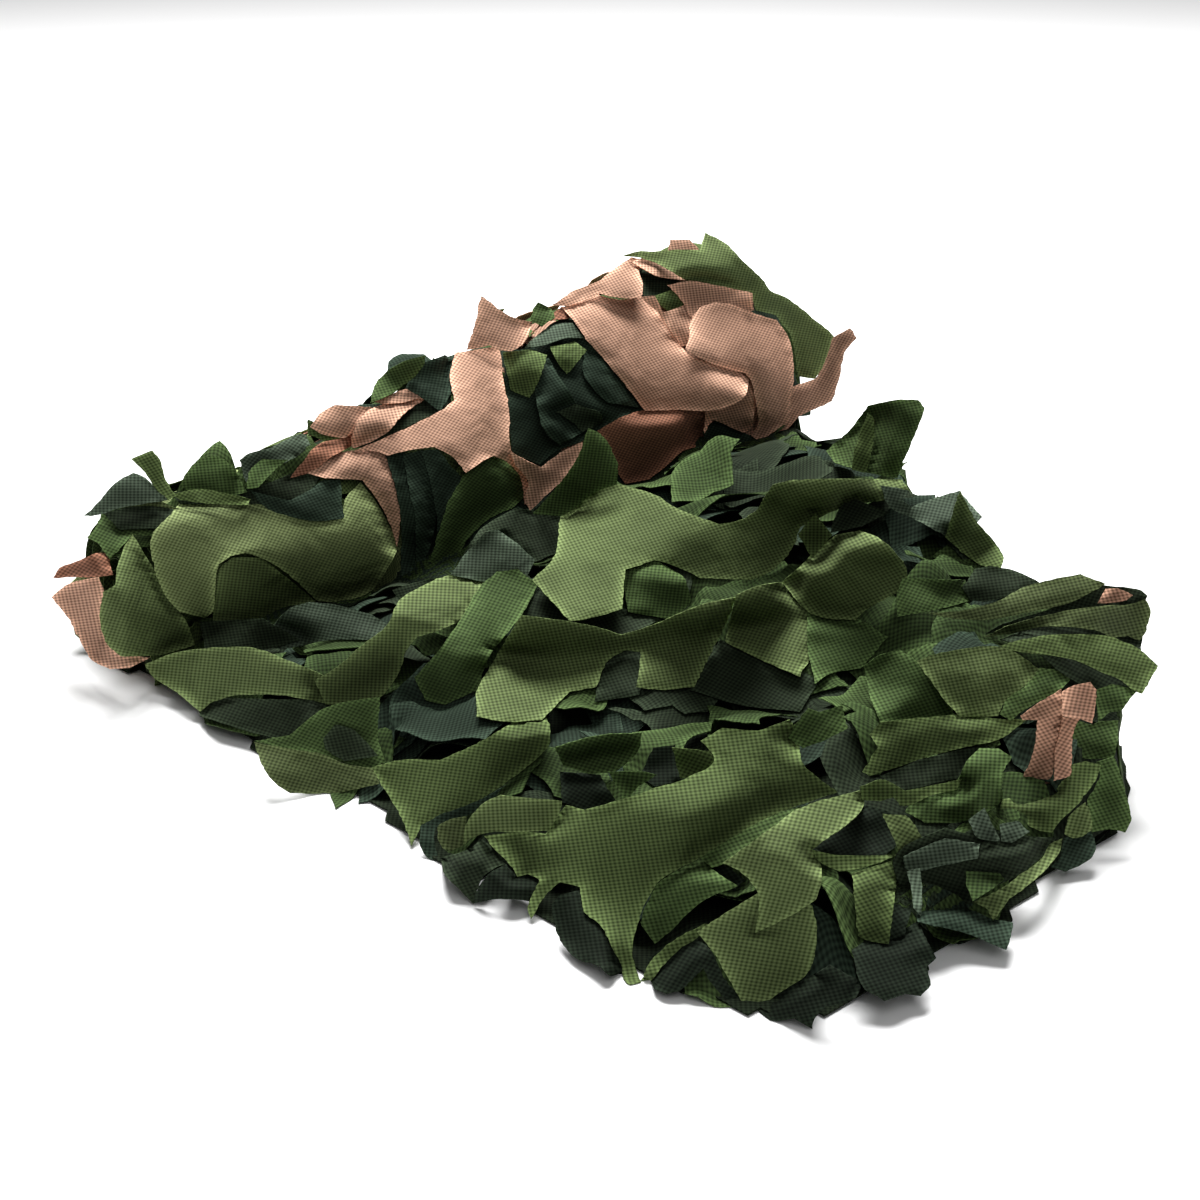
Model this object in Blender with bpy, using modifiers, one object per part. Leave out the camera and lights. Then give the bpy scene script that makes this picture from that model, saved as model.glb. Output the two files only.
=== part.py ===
"""Camouflage net of leaf-cut cloth: rolled up from one end, its folded tail laid out in front.

The net is one length of cloth, so it is one solid: the roll, the back-and-forth
layers of the tail that runs out from under it, and the cut leaves that stand off both.
The origin is on the surface it rests on, under the middle of the roll. +X runs along
the roll to its thick end, -Y out along the tail, +Z up.
"""

import math

import bmesh
import bpy
import numpy as np
from mathutils import Vector

MM = 0.001

# The cloth
CLOTH = 1.3 * MM
LAYERS = 5
SLIT_SHARE = 0.34
SLIT_LIP = 2.6 * MM

# The roll: its radius at places along X, and its ends
ROLL_X = np.array((-150, -100, -50, 0, 50, 100, 128)) * MM
ROLL_RADIUS = np.array((26, 26.5, 30, 35.5, 39.5, 42, 41.5)) * MM
ROLL_STATIONS = 14
ROLL_SIDES = 28
ROLL_FLAT = 1.3 * MM
END_RINGS = 5
END_DOME = 5 * MM
END_SPIRAL = 1.6 * MM
END_TURNS = 2
WRAP_STEP = 2.6 * MM
WRAP_ANGLE = math.radians(-105)

# Bunches of the wound turns: height, waves round the roll, phase per metre along it, and phase
ROLL_BUNCHES = (
    (1.3 * MM, 3, 38.0, 0.0),
    (1.0 * MM, 2, -61.0, 1.3),
    (0.8 * MM, 5, 95.0, 0.0),
)

# The tail: its right-hand edge at places along Y, its left edge, front edge and height
TAIL_Y = np.array((-285, -255, -200, -150, -96, -40, 10)) * MM
TAIL_RIGHT = np.array((-42, 8, 27, 62, 104, 120, 124)) * MM
TAIL_LEFT = -150 * MM
TAIL_START = -9 * MM
TAIL_FRONT = -276 * MM
TAIL_HEIGHT = (12 * MM, 37 * MM)
TAIL_RISE_LENGTH = 170 * MM
TAIL_SWELL_Y = np.array((-285, -230, -90, -50, 10)) * MM
TAIL_SWELL = np.array((0.62, 1.0, 1.0, 0.72, 0.5))
TAIL_RISE_POWER = 1.3
TAIL_ROWS = 12
LAYER_CELLS = (4, 5, 5, 5, 12)
FOLD_CELLS = 2
EDGE_UNEVEN = 5 * MM
LEFT_UNEVEN = 3 * MM
TOP_WAVE = 5 * MM
LAYER_WAVE_SHARE = 0.16

# How fast the top layer's waves grow from its left, right, back and front edges
CRUMPLE_START = (6.0, 6.0, 5.0, 8.0)

LEAF_ALONG = 4
LEAF_ACROSS = 2
LEAF_ROOT_SINK = 0.1 * MM
LEAF_ROOT_DEPTH = 1.2 * MM

# Leaves on the tail, in mm. Each runs from its root, which lies in the top layer, to its
# tip: root x and y, tip x, y and z, the height and the sideways bow of its middle over
# the straight line between them, its half widths at root, middle and tip, and its bank
# in degrees, which raises its left-hand edge.
TAIL_LEAVES = (
    # rx, ry, tx, ty, tz, rise, bow, w0, w1, w2, bank
    (-146, -30, -130, -92, 15, 4, 2, 6, 11, 7, 4),
    (-127, -88, -78, -86, 31, 3, -6, 8, 10, 7, -6),
    (-118, -150, -155, -146, 8, 6, 4, 9, 11, 9, 8),
    (-111, -104, -70, -119, 26, 15, 6, 7, 8, 5, 0),
    (-77, -76, -36, -65, 36, 15, 0, 10, 13, 8, 10),
    (-29, -71, -34, -92, 64, 4, 3, 9, 8, 2, 35),
    (-51, -107, -4, -128, 47, 8, -7, 14, 13, 12, 6),
    (-4, -126, 28, -151, 50, 7, 8, 12, 12, 8, -8),
    (-77, -123, -118, -143, 19, 6, -5, 15, 17, 10, 5),
    (-51, -164, -87, -169, 26, 5, 0, 7, 16, 11, -6),
    (-10, -171, -55, -195, 32, 12, 4, 16, 24, 9, 0),
    (-38, -209, -58, -239, 33, 6, 3, 5, 14, 12, -5),
    (-42, -221, -27, -251, 36, 6, 0, 7, 14, 7, 8),
    (-8, -216, 24, -243, 49, 4, 3, 7, 6, 4, 30),
    (-10, -228, 20, -255, 40, 3, 0, 6, 6, 6, 0),
    (-18, -232, -6, -274, 33, 4, -3, 7, 9, 7, -14),
    (-97, -230, -51, -259, 33, 5, 9, 7, 9, 6, 0),
    (-29, -262, -62, -274, 26, 4, 2, 6, 5, 7, 0),
    (-75, -262, -48, -284, 30, 3, 0, 10, 9, 5, 0),
    (-34, -256, -47, -288, 12, 3, 3, 6, 8, 8, -20),
    (33, -141, 30, -157, 78, 3, 0, 16, 9, 2, 10),
    (31, -156, 17, -200, 40, 6, -4, 11, 10, 6, -14),
    (-135, -213, -170, -248, 7, 4, 0, 30, 17, 2, 0),
    (-138, -204, -161, -176, 13, 4, 3, 15, 12, 4, 0),
    (-93, -234, -138, -216, 17, 5, 0, 20, 23, 26, 0),
    (-134, -250, -164, -268, 5, 4, 0, 15, 12, 1.5, 0),
    (-120, -245, -124, -283, 3, 1, 0, 15, 14, 8, 0),
    (-86, -248, -72, -284, 8, 1, 4, 9, 8, 6, 0),
    (-62, -262, -55, -290, 9, 2, 0, 9, 9, 5, 0),
    (-144, -150, -163, -162, 3, 1, 0, 9, 8, 3, 0),
    (-146, -118, -163, -136, 5, 2, -3, 7, 9, 3, -12),
    (96, -82, 117, -100, 33, 5, 0, 12, 10, 4, 0),
    (70, -110, 92, -128, 30, 6, 4, 12, 10, 5, 10),
)

# Leaves on the roll: root and tip as x in mm and the angle in degrees forward from the
# top of the roll, the lift of middle and tip over the roll, bow, half widths and bank.
ROLL_LEAVES = (
    # rx, ra, tx, ta, mid, tip, bow, w0, w1, w2, bank
    (3, 22, -1, 3, 7, 18, 0, 10, 8, 1, 0),
    (19, 10, 25, 6, 6, 10, 0, 5, 5, 3, 0),
    (-8, 48, -70, 38, 5, 3, 6, 15, 9, 5, 4),
    (-36, 30, -93, 36, 7, 6, 2, 6, 8, 3, -10),
    (-43, 12, -30, 10, 8, 12, 0, 5, 5, 3, 20),
    (-129, 36, -163, 24, 4, 3, 3, 7, 7, 2, 0),
    (-133, 16, -137, 1, 5, 11, 0, 5, 5, 4, 0),
    (-127, 22, -107, 32, 9, 2, 0, 6, 7, 5, 20),
    (-74, 20, -106, 27, 5, 4, 0, 6, 7, 4, 0),
    (-132, 70, -162, 96, 4, -6, 0, 20, 19, 12, 0),
    (-138, 128, -166, 92, 3, -8, -3, 10, 9, 5, 0),
    (84, -14, 126, 82, 5, 2, 4, 7, 11, 8, 0),
    (79, 20, 116, 65, 5, 4, 0, 10, 14, 10, 0),
    (118, 98, 142, 72, 2, 5, 0, 12, 9, 3, 0),
    (16, 84, -16, 98, 4, 2, 0, 9, 9, 5, 0),
    (-46, 60, -41, 142, 5, 3, 0, 9, 11, 8, 0),
    (26, 106, 66, 88, 4, 3, 3, 14, 14, 8, 0),
    (60, 28, 72, 58, 5, 3, 0, 12, 11, 6, 0),
    (-90, -60, -60, -95, 5, 3, 0, 11, 12, 6, 0),
    (-30, -50, -5, -100, 6, 3, 4, 12, 13, 7, 0),
    (40, -45, 55, -90, 6, 4, 0, 13, 14, 7, 0),
    (100, -50, 90, -95, 5, 3, -3, 11, 12, 6, 0),
)


def remove_all_objects():
    for thing in list(bpy.data.objects):
        bpy.data.objects.remove(thing, do_unlink=True)


def new_collection(name):
    collection = bpy.data.collections.new(name)
    bpy.context.scene.collection.children.link(collection)
    return collection


def cloth_material():
    material = bpy.data.materials.new("printed cloth")
    material.use_nodes = True
    shader = material.node_tree.nodes["Principled BSDF"]
    shader.inputs["Base Color"].default_value = (0.116, 0.150, 0.062, 1.0)
    shader.inputs["Roughness"].default_value = 0.85
    shader.inputs["Metallic"].default_value = 0.0
    return material


def new_object(name, work, collection):
    mesh = bpy.data.meshes.new(name)
    work.to_mesh(mesh)
    work.free()
    thing = bpy.data.objects.new(name, mesh)
    collection.objects.link(thing)
    return thing


def thicken(thing):
    solidify = thing.modifiers.new("thickness", "SOLIDIFY")
    solidify.thickness = CLOTH
    solidify.offset = 0.0


def grid_of(columns, rows):
    """An open grid, and its points as [column][row]."""
    work = bmesh.new()
    bmesh.ops.create_grid(work, x_segments=columns, y_segments=rows, size=1.0)
    points = sorted(work.verts, key=lambda point: (round(point.co.x, 5), round(point.co.y, 5)))
    per_column = rows + 1
    return work, [points[i : i + per_column] for i in range(0, len(points), per_column)]


# The roll


def roll_radius(x):
    return float(np.interp(x, ROLL_X, ROLL_RADIUS))


def on_roll(x, angle, lift):
    """The point over the roll at this place along it and this angle forward from its top."""
    radius = roll_radius(x)
    reach = radius + lift
    return Vector((x, -reach * math.sin(angle), radius - ROLL_FLAT + reach * math.cos(angle)))


def wound_lift(x, angle):
    """How far the wound cloth stands off a plain cone: bunched turns, and the last turn's edge."""
    waves = 0.0
    for height, round_it, along, phase in ROLL_BUNCHES:
        waves += height * math.sin(round_it * angle + along * x + phase)
    turn = ((angle - WRAP_ANGLE) / math.tau) % 1.0
    pressed_flat = min(1.0, 1.3 * (1 + math.cos(angle)))
    return waves * pressed_flat + WRAP_STEP * (turn - 0.5)


def settled(point):
    """A point under the surface that the net rests on comes up to it."""
    return Vector((point.x, point.y, max(point.z, 0.0)))


def end_point(x, outward, share, angle):
    """A point on the roll's end, where the turns show as a shallow spiral."""
    phase = math.tau * END_TURNS * share + outward * angle
    relief = END_DOME * (1 - share**2) + END_SPIRAL * math.sin(phase) * share * (1 - share) * 4
    rim = on_roll(x, angle, wound_lift(x, angle))
    middle = on_roll(x, 0.0, -roll_radius(x))
    point = middle.lerp(rim, share)
    point.x += outward * relief
    return settled(point)


def make_roll(collection):
    """Rings of points: in from the middle of one end, along the roll and in to the other."""
    angles = [math.tau * i / ROLL_SIDES for i in range(ROLL_SIDES)]
    shares = [i / END_RINGS for i in range(1, END_RINGS)]
    stations = np.linspace(ROLL_X[0], ROLL_X[-1], ROLL_STATIONS)
    rings = [[end_point(ROLL_X[0], -1, share, a) for a in angles] for share in shares]
    rings += [[settled(on_roll(x, a, wound_lift(x, a))) for a in angles] for x in stations]
    rings += [[end_point(ROLL_X[-1], 1, share, a) for a in angles] for share in reversed(shares)]
    work = bmesh.new()
    loops = []
    for ring in rings:
        points = [work.verts.new(point) for point in ring]
        loops.append([work.edges.new((points[i - 1], points[i])) for i in range(ROLL_SIDES)])
    for first, second in zip(loops, loops[1:]):
        bmesh.ops.bridge_loops(work, edges=first + second)
    for loop in (loops[0], loops[-1]):
        hub = bmesh.ops.contextual_create(work, geom=loop)["faces"]
        bmesh.ops.poke(work, faces=hub)
    bmesh.ops.recalc_face_normals(work, faces=work.faces)
    return new_object("camouflage_net", work, collection)


# The tail


def tail_right(y):
    return float(np.interp(y, TAIL_Y, TAIL_RIGHT))


def top_height(x, y):
    """Height of the tail's top layer: low at its left edge, bunched up towards the right."""
    low, high = TAIL_HEIGHT
    across = min(max((x - TAIL_LEFT) / TAIL_RISE_LENGTH, 0.0), 1.0)
    swell = float(np.interp(y, TAIL_SWELL_Y, TAIL_SWELL))
    return low + (high - low) * swell * across**TAIL_RISE_POWER


def layer_point(layer, across, forward):
    """A point of one layer, from its left edge to its right and from the roll to its front.

    The phases of the sines only make no two layers alike.
    """
    uneven = math.sin(2.3 * layer + 7.0 * forward)
    front = TAIL_FRONT + EDGE_UNEVEN * math.sin(1.7 * layer + 5.0 * across)
    y = TAIL_START + (front - TAIL_START) * forward
    left = TAIL_LEFT + LEFT_UNEVEN * uneven
    right = tail_right(y) + EDGE_UNEVEN * uneven
    x = left + (right - left) * across
    spacing = (top_height(x, y) - CLOTH) / (LAYERS - 1)
    height = CLOTH / 2 + spacing * layer
    if layer == LAYERS - 1:
        height += TOP_WAVE * crumple(across, forward)
    elif layer > 0:
        gap = spacing - CLOTH
        height += LAYER_WAVE_SHARE * gap * math.sin(11 * forward + 9 * across + 2 * layer)
    return Vector((x, y, height))


def crumple(across, forward):
    """Soft uneven waves of the top layer, from 0 to 1, that die out at its edges."""
    waves = math.sin(17 * across + 9 * forward) * math.sin(13 * forward - 5 * across + 1)
    from_edges = (across, 1 - across, forward, 1 - forward)
    inside = min(1.0, *(rate * share for rate, share in zip(CRUMPLE_START, from_edges)))
    return (0.5 + 0.5 * waves) * max(inside, 0.0)


def fold_point(layer, step, forward):
    """A point of the turned fold that joins one layer to the next."""
    side = 1.0 if layer % 2 == 0 else 0.0
    low = layer_point(layer, side, forward)
    high = layer_point(layer + 1, side, forward)
    turn = math.pi * step / (FOLD_CELLS + 1)
    point = low.lerp(high, (1 - math.cos(turn)) / 2)
    outward = 1 if side else -1
    point.x += outward * math.sin(turn) * (high.z - low.z) / 2
    return point


def section(forward):
    """The back-and-forth line of the layers across the tail, from the floor up."""
    line = []
    for layer, cells in enumerate(LAYER_CELLS):
        shares = [i / cells for i in range(cells + 1)]
        if layer % 2:
            shares.reverse()
        line += [layer_point(layer, share, forward) for share in shares]
        if layer < LAYERS - 1:
            line += [fold_point(layer, step, forward) for step in range(1, FOLD_CELLS + 1)]
    return line


def open_slit(columns, work, column, row, lip):
    """Parts the cloth along two cells of one column and pulls the cut open at its middle."""
    start, middle, end = (columns[column][row + i] for i in range(3))
    beside = columns[column + 1][row + 1]
    across = (beside.co - middle.co) * SLIT_SHARE
    edges = [work.edges.get((start, middle)), work.edges.get((middle, end))]
    ahead = {face for edge in edges for face in edge.link_faces if beside in face.verts}
    for point in bmesh.utils.vert_separate(middle, edges):
        towards = 1 if point.link_faces[0] in ahead else -1
        point.co += across * towards
        point.co.z += lip * towards


def open_slits(columns, work, first_column, layer):
    """The leaf cuts of one layer, staggered from column to column."""
    for column in range(1, LAYER_CELLS[layer]):
        lip = SLIT_LIP * (1 if column % 3 else -1) if layer == LAYERS - 1 else 0.0
        for row in range(2 + 2 * ((column + layer) % 2), TAIL_ROWS - 2, 4):
            open_slit(columns, work, first_column + column, row, lip)


def make_tail(collection):
    per_row = sum(cells + 1 for cells in LAYER_CELLS) + FOLD_CELLS * (LAYERS - 1)
    work, columns = grid_of(per_row - 1, TAIL_ROWS)
    for row in range(TAIL_ROWS + 1):
        line = section(row / TAIL_ROWS)
        for column, point in zip(columns, line):
            column[row].co = point
    first_column = 0
    for layer, cells in enumerate(LAYER_CELLS):
        open_slits(columns, work, first_column, layer)
        first_column += cells + 1 + FOLD_CELLS
    thing = new_object("tail layers", work, collection)
    thicken(thing)
    return thing


# The leaves


def leaf_grid(collection, name, place, widths):
    """A strip of cloth: place gives the point at a share along it and a distance to its side."""
    work, columns = grid_of(LEAF_ALONG, LEAF_ACROSS)
    for i, column in enumerate(columns):
        along = i / LEAF_ALONG
        half = float(np.interp(along, (0.0, 0.5, 1.0), widths))
        for j, point in enumerate(column):
            point.co = place(along, half * (2 * j / LEAF_ACROSS - 1))
    thing = new_object(name, work, collection)
    thicken(thing)
    return thing


def arch(along):
    """0 at both ends and 1 in the middle."""
    return 4 * along * (1 - along)


def tail_leaf(collection, name, row):
    rx, ry, tx, ty, tz, rise, bow, *widths, bank = row
    root = Vector((rx * MM, ry * MM, top_height(rx * MM, ry * MM) - LEAF_ROOT_SINK))
    tip = Vector((tx, ty, tz)) * MM
    level = Vector((tip.x - root.x, tip.y - root.y, 0.0)).normalized()
    side = Vector((-level.y, level.x, 0.0))
    slope = math.tan(math.radians(bank))

    def place(along, offset):
        middle = root.lerp(tip, along) + side * bow * MM * arch(along)
        point = middle + side * offset
        ground = top_height(point.x, point.y) - top_height(middle.x, middle.y)
        point.z += rise * MM * arch(along) + offset * slope * along + ground * (1 - along)
        point.z = max(point.z, CLOTH / 2)
        return point

    return leaf_grid(collection, name, place, [width * MM for width in widths])


def roll_leaf(collection, name, row):
    rx, ra, tx, ta, middle_lift, tip_lift, bow, *widths, bank = row
    run = (tx - rx) * MM
    turn = math.radians(ta - ra)
    radius = roll_radius((rx + tx) / 2 * MM)
    length = math.hypot(run, radius * turn)
    slope = math.tan(math.radians(bank))
    lifts = (-LEAF_ROOT_DEPTH, middle_lift * MM, tip_lift * MM)

    def place(along, offset):
        aside = bow * MM * arch(along) + offset
        x = rx * MM + run * along - aside * radius * turn / length
        angle = math.radians(ra) + turn * along + aside * run / (length * radius)
        lift = float(np.interp(along, (0.0, 0.5, 1.0), lifts)) + offset * slope * along
        point = on_roll(x, angle, lift)
        point.z = max(point.z, CLOTH / 2)
        return point

    return leaf_grid(collection, name, place, [width * MM for width in widths])


def make_leaves(collection):
    for number, row in enumerate(TAIL_LEAVES, 1):
        tail_leaf(collection, f"tail leaf {number}", row)
    for number, row in enumerate(ROLL_LEAVES, 1):
        roll_leaf(collection, f"roll leaf {number}", row)


# The net


def island_from(face, seen):
    """All the faces joined to this one through their edges."""
    island = []
    waiting = [face]
    seen.add(face)
    while waiting:
        face = waiting.pop()
        island.append(face)
        for edge in face.edges:
            for other in edge.link_faces:
                if other not in seen:
                    seen.add(other)
                    waiting.append(other)
    return island


def keep_outer_skin(net):
    """Applies the join and fills the small sealed pockets that leaves close off against the roll."""
    bpy.context.view_layer.update()
    graph = bpy.context.evaluated_depsgraph_get()
    joined = bpy.data.meshes.new_from_object(net.evaluated_get(graph))
    net.modifiers.clear()
    net.data = joined
    work = bmesh.new()
    work.from_mesh(joined)
    seen = set()
    islands = [island_from(face, seen) for face in work.faces if face not in seen]
    outer = max(islands, key=len)
    inner = [face for island in islands if island is not outer for face in island]
    bmesh.ops.delete(work, geom=inner, context="FACES")
    work.to_mesh(joined)
    work.free()


def make_net():
    parts = new_collection("camouflage net")
    pieces = new_collection("joined pieces")
    net = make_roll(parts)
    make_tail(pieces)
    make_leaves(pieces)
    union = net.modifiers.new("one cloth", "BOOLEAN")
    union.operation = "UNION"
    union.solver = "EXACT"
    union.operand_type = "COLLECTION"
    union.collection = pieces
    for piece in pieces.objects:
        piece.hide_render = True
        piece.display_type = "WIRE"
    keep_outer_skin(net)
    net.data.materials.append(cloth_material())


remove_all_objects()
make_net()
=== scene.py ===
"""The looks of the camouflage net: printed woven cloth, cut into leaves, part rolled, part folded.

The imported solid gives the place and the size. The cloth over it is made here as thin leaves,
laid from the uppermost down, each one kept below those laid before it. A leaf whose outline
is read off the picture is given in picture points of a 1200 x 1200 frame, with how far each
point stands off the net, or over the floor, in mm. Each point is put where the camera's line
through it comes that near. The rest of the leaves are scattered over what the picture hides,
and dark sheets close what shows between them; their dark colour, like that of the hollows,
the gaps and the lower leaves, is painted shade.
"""

import math
from collections import namedtuple

import bpy
import numpy as np
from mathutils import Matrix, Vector
from mathutils.geometry import delaunay_2d_cdt


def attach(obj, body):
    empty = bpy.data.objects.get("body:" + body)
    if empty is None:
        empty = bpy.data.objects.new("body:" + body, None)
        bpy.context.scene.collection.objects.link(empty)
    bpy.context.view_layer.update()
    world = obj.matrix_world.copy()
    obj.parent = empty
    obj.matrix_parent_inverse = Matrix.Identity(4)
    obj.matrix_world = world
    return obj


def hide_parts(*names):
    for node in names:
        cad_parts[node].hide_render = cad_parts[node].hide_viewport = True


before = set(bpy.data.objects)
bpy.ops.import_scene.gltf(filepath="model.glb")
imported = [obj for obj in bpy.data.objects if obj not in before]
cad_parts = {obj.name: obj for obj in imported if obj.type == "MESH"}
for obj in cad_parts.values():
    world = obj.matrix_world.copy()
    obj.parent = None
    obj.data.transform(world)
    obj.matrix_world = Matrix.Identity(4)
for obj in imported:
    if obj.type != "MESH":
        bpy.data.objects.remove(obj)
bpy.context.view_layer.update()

MM = 0.001
NET = "camouflage_net"
TINY = 1e-12

# The camera, as in the picture
PICTURE = 1200
FOCAL_POINTS = 2200.0
CAMERA_PLACE = np.array((-467.2, -544.2, 268.6)) * MM
CAMERA_DOWN = math.radians(22.0)
CAMERA_TURN = math.radians(43.9)
SENSOR = 36.0
CLIP_START = 50 * MM

# The search along the camera's lines, and how far they are kept free
NEAREST, FARTHEST = 480 * MM, 1080 * MM
COARSE_STEPS, FINE_STEPS, FINE_ROUNDS = 241, 25, 2
SIGHT_LENGTH = 60 * MM
SIGHT_CELL = 3.0

# The roll: its radius at places along X, and how far it is sunk for its flat spot
ROLL_X = np.array((-150, -100, -50, 0, 50, 100, 128)) * MM
ROLL_RADIUS = np.array((26, 26.5, 30, 35.5, 39.5, 42, 41.5)) * MM
ROLL_SINK = 1.3 * MM
ROLL_PAST = 8 * MM
END_SUNK = 8 * MM

# The folded tail: its outline, how its top rises, and the waves of its top over X and Y
TAIL_Y = np.array((-285, -255, -200, -150, -96, -40, 10)) * MM
TAIL_RIGHT = np.array((-42, 8, 27, 62, 104, 120, 124)) * MM
TAIL_LEFT = -147 * MM
TAIL_FRONT = -271 * MM
TAIL_CORNER = 16 * MM
TAIL_BACK = 12 * MM
TAIL_HEIGHT = (12 * MM, 39 * MM)
TAIL_RISE_LENGTH = 170 * MM
TAIL_RISE_POWER = 1.3
TAIL_SWELL_Y = np.array((-285, -230, -90, -50, 10)) * MM
TAIL_SWELL = np.array((0.62, 1.0, 1.0, 0.8, 0.7))
TAIL_EDGE = 9 * MM
TAIL_EDGE_SHARE = 1.6
TOP_WAVE = 7 * MM
TOP_WAVE_TURNS = ((92, 31, 0), (-22, 47, 1))
LOW_WAVE_SHARE = 0.3
TAIL_MARGIN = 4 * MM

# The charts' corners in metres, and the cell of the map kept over each
TAIL_CHART = ((-0.20, -0.33), (0.17, 0.06))
ROLL_CHART_X = (-0.18, 0.16)
MAP_CELL = 1.4 * MM

# The cloth
CLOTH = 0.26 * MM
CLEARANCE = 0.55 * MM
THREAD_PITCH = 0.78 * MM
LEAST_HEIGHT = 0.3 * MM

# How outlines are rounded, and how they are filled, in shares of the fill's step
SHARP_COSINE = 0.82
ROW_SHARE = 0.87
ROW_START, ROW_SHIFT = 0.25, 0.5
EDGE_FREE = 0.6
LIFT_NEAR, LIFT_POWER = 0.05, 2.2

# The shape that each leaf gets
RIPPLE_COUNT, RIPPLE_TURNS, RIPPLE_SCALE = 5, (0.6, 1.7), 3.0
SWELL_POWER = 0.7
CURL_FROM = 0.45
CREASES, CREASE_OFFSET, CREASE_SLOPE = 2, 0.45, (0.15, 0.5)
CREASE_ROUNDING = 2.5 * MM
WAVE, WAVE_LENGTH = 1.1 * MM, 46 * MM
EDGE_WAVE, EDGE_WAVE_LENGTH, EDGE_BAND, EDGE_LIFT = 1.2 * MM, 30 * MM, 4 * MM, 0.3
# Width of the painted highlight along each leaf's cut edge
RIM_HIGHLIGHT_WIDTH = 1.2 * MM
# How far from a cut edge the dark sheets count, so they get no painted edge highlight
DEEP = 1.0

# How a leaf settles between its neighbours: rounds of smoothing, each in so many steps
FIRST_SMOOTHING, SMOOTH_ROUNDS = 2, 3
PICTURE_ROUNDS, SCATTER_ROUNDS = 5, 4

# Leaves read off the picture: the fill's step and the jitter in picture points
SQUEEZE = 1.8
FINENESS = 6.0
CUT_JITTER = 0.4
CUT_STRETCH = 1.35
PICTURE_CURL = (1.0, 5.0)
PICTURE_TURN = (0.2, 1.3)
TAIL_RAISED = 1.1
STAND_FROM = 8
STAND_SLOPE = 0.35
STAND_LIMIT = 18 * MM

# Scattered leaves: half widths at places along them, and the spread of each draw
LEAF_PLACES = np.array((0.0, 0.16, 0.36, 0.58, 0.8))
LEAF_WIDTHS = np.array((0.55, 0.95, 1.0, 0.8, 0.45))
LEAF_WIDTH_SPREAD, LEAF_LEFT_SPREAD = (0.75, 1.25), (0.7, 1.2)
LEAF_BEND, LEAF_SHIFT, LEAF_TIP = 0.16, 0.04, 0.2
LEAF_SLIMNESS = (0.45, 0.8)
LIFT_SPREAD = (-1.5, 2.5)
CROWN_SPREAD = (0.5, 4.0)
TURN_SPREAD = 0.6
PLACE_SPREAD = 0.35
SEED_STEP = 3
OUTLINE_STEP, OUTLINE_JITTER, FILL_STEP = 2.2 * MM, 0.12 * MM, 2.6 * MM
SHRINK, SHRINK_TRIES = 0.75, 4
FAR_SIDE = 14 * MM
PULL_STEP, PULLS = 0.5 * MM, 40
SMALL_LEAF, HANGS = 90, 7 * MM
LOWEST = -5.0 * MM

# The dark sheets under the leaves, whose dark colour is painted shade
CORE_X, CORE_Y = (-0.166, 0.142), (-0.294, 0.024)
CORE_STEP = 4 * MM
CORE_UNDER, SKIN_UNDER = 2 * MM, 1 * MM
CORE_WAVE, CORE_WAVE_LENGTH, CORE_SEED = 0.8 * MM, 26 * MM, 5
CORE_PULL, CORE_PULLS = 2 * MM, 8
CORE_DROP, CORE_DROPS, CORE_FLOOR = 3 * MM, 12, 0.8 * MM
CORE_LEAST, CORE_BOTTOM = 0.4 * MM, 0.6 * MM
SKIN_ALONG, SKIN_AROUND = 70, 64

# The turns at the roll's ends
SPIRAL_PITCH = 3.1 * MM
SPIRAL_START = 2 * MM
SPIRAL_STEP, SPIRAL_STEP_RADIUS = 2.6 * MM, 3 * MM
SPIRAL_INSET = 4 * MM
SPIRAL_DEPTH, SPIRAL_ROWS = 24 * MM, 7
SPIRAL_WAVE, SPIRAL_WAVE_LENGTH = 0.5 * MM, 25 * MM
SPIRAL_WAVE_RADIUS, SPIRAL_WAVE_TURNS = 20, 9
SPIRAL_DOME = 5 * MM
SPIRAL_EDGE_WAVE, SPIRAL_EDGE_LENGTH, SPIRAL_EDGE_RUN = 3 * MM, 30 * MM, 3

# The material: its weave's pattern, with painted highlight on thread crowns and painted shade in the gaps,
# its random fade, its painted highlight along cut edges, its creases and its sheen
WEAVE_LIGHT_AND_SHADE = (0.4, 1.62)
FADE_SCALE, FADE_DETAIL = 55.0, 3.0
FADE_SHADES = (0.3, 0.7, 0.82, 1.15)
# How much paler the cut edges are: a painted highlight
RIM_HIGHLIGHT = 0.8
CRUMPLES = {"Scale": 60.0, "Detail": 2.5, "Distortion": 0.8}
CRUMPLE_BUMP = {"Strength": 0.7, "Distance": 3.0 * MM}
WEAVE_BUMP = {"Strength": 0.5, "Distance": 0.1 * MM}
SHEEN = {"Roughness": 0.82, "Specular IOR Level": 0.08}

# The scene around it
FLOOR_SIZE = 12
FLOOR_COLOUR, FLOOR_ROUGHNESS = (0.92, 0.92, 0.92, 1.0), 0.9
WHITE = (1.0, 1.0, 1.0, 1.0)
SOFT_LIGHT = 0.2
KEY_LIGHT = ("key", (0.35, 0.35, 1.4), 1.0, 42)
FILL_LIGHT = ("fill", (-0.7, -1.0, 1.1), 0.9, 4)
LIGHT_TARGET = Vector((0, -0.1, 0))

# Printed colours, linear. SHADE and the black are painted shade, and the print's dark green DARK serves
# mostly as painted shade too: on hollows, openings, gaps, lower leaves and dark sheets
GREEN = (0.074, 0.100, 0.040)
SAGE = (0.092, 0.119, 0.051)
LIGHT = (0.148, 0.180, 0.083)
MID = (0.052, 0.078, 0.030)
OLIVE = (0.064, 0.080, 0.036)
# Painted shade, for the lower leaves between the others
SHADE = (0.034, 0.052, 0.020)
# The print's black-green, used mostly as painted shade
DARK = (0.022, 0.030, 0.018)
BLUE = (0.024, 0.036, 0.025)
GREY = (0.056, 0.073, 0.052)
BROWN = (0.360, 0.222, 0.160)
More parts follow.
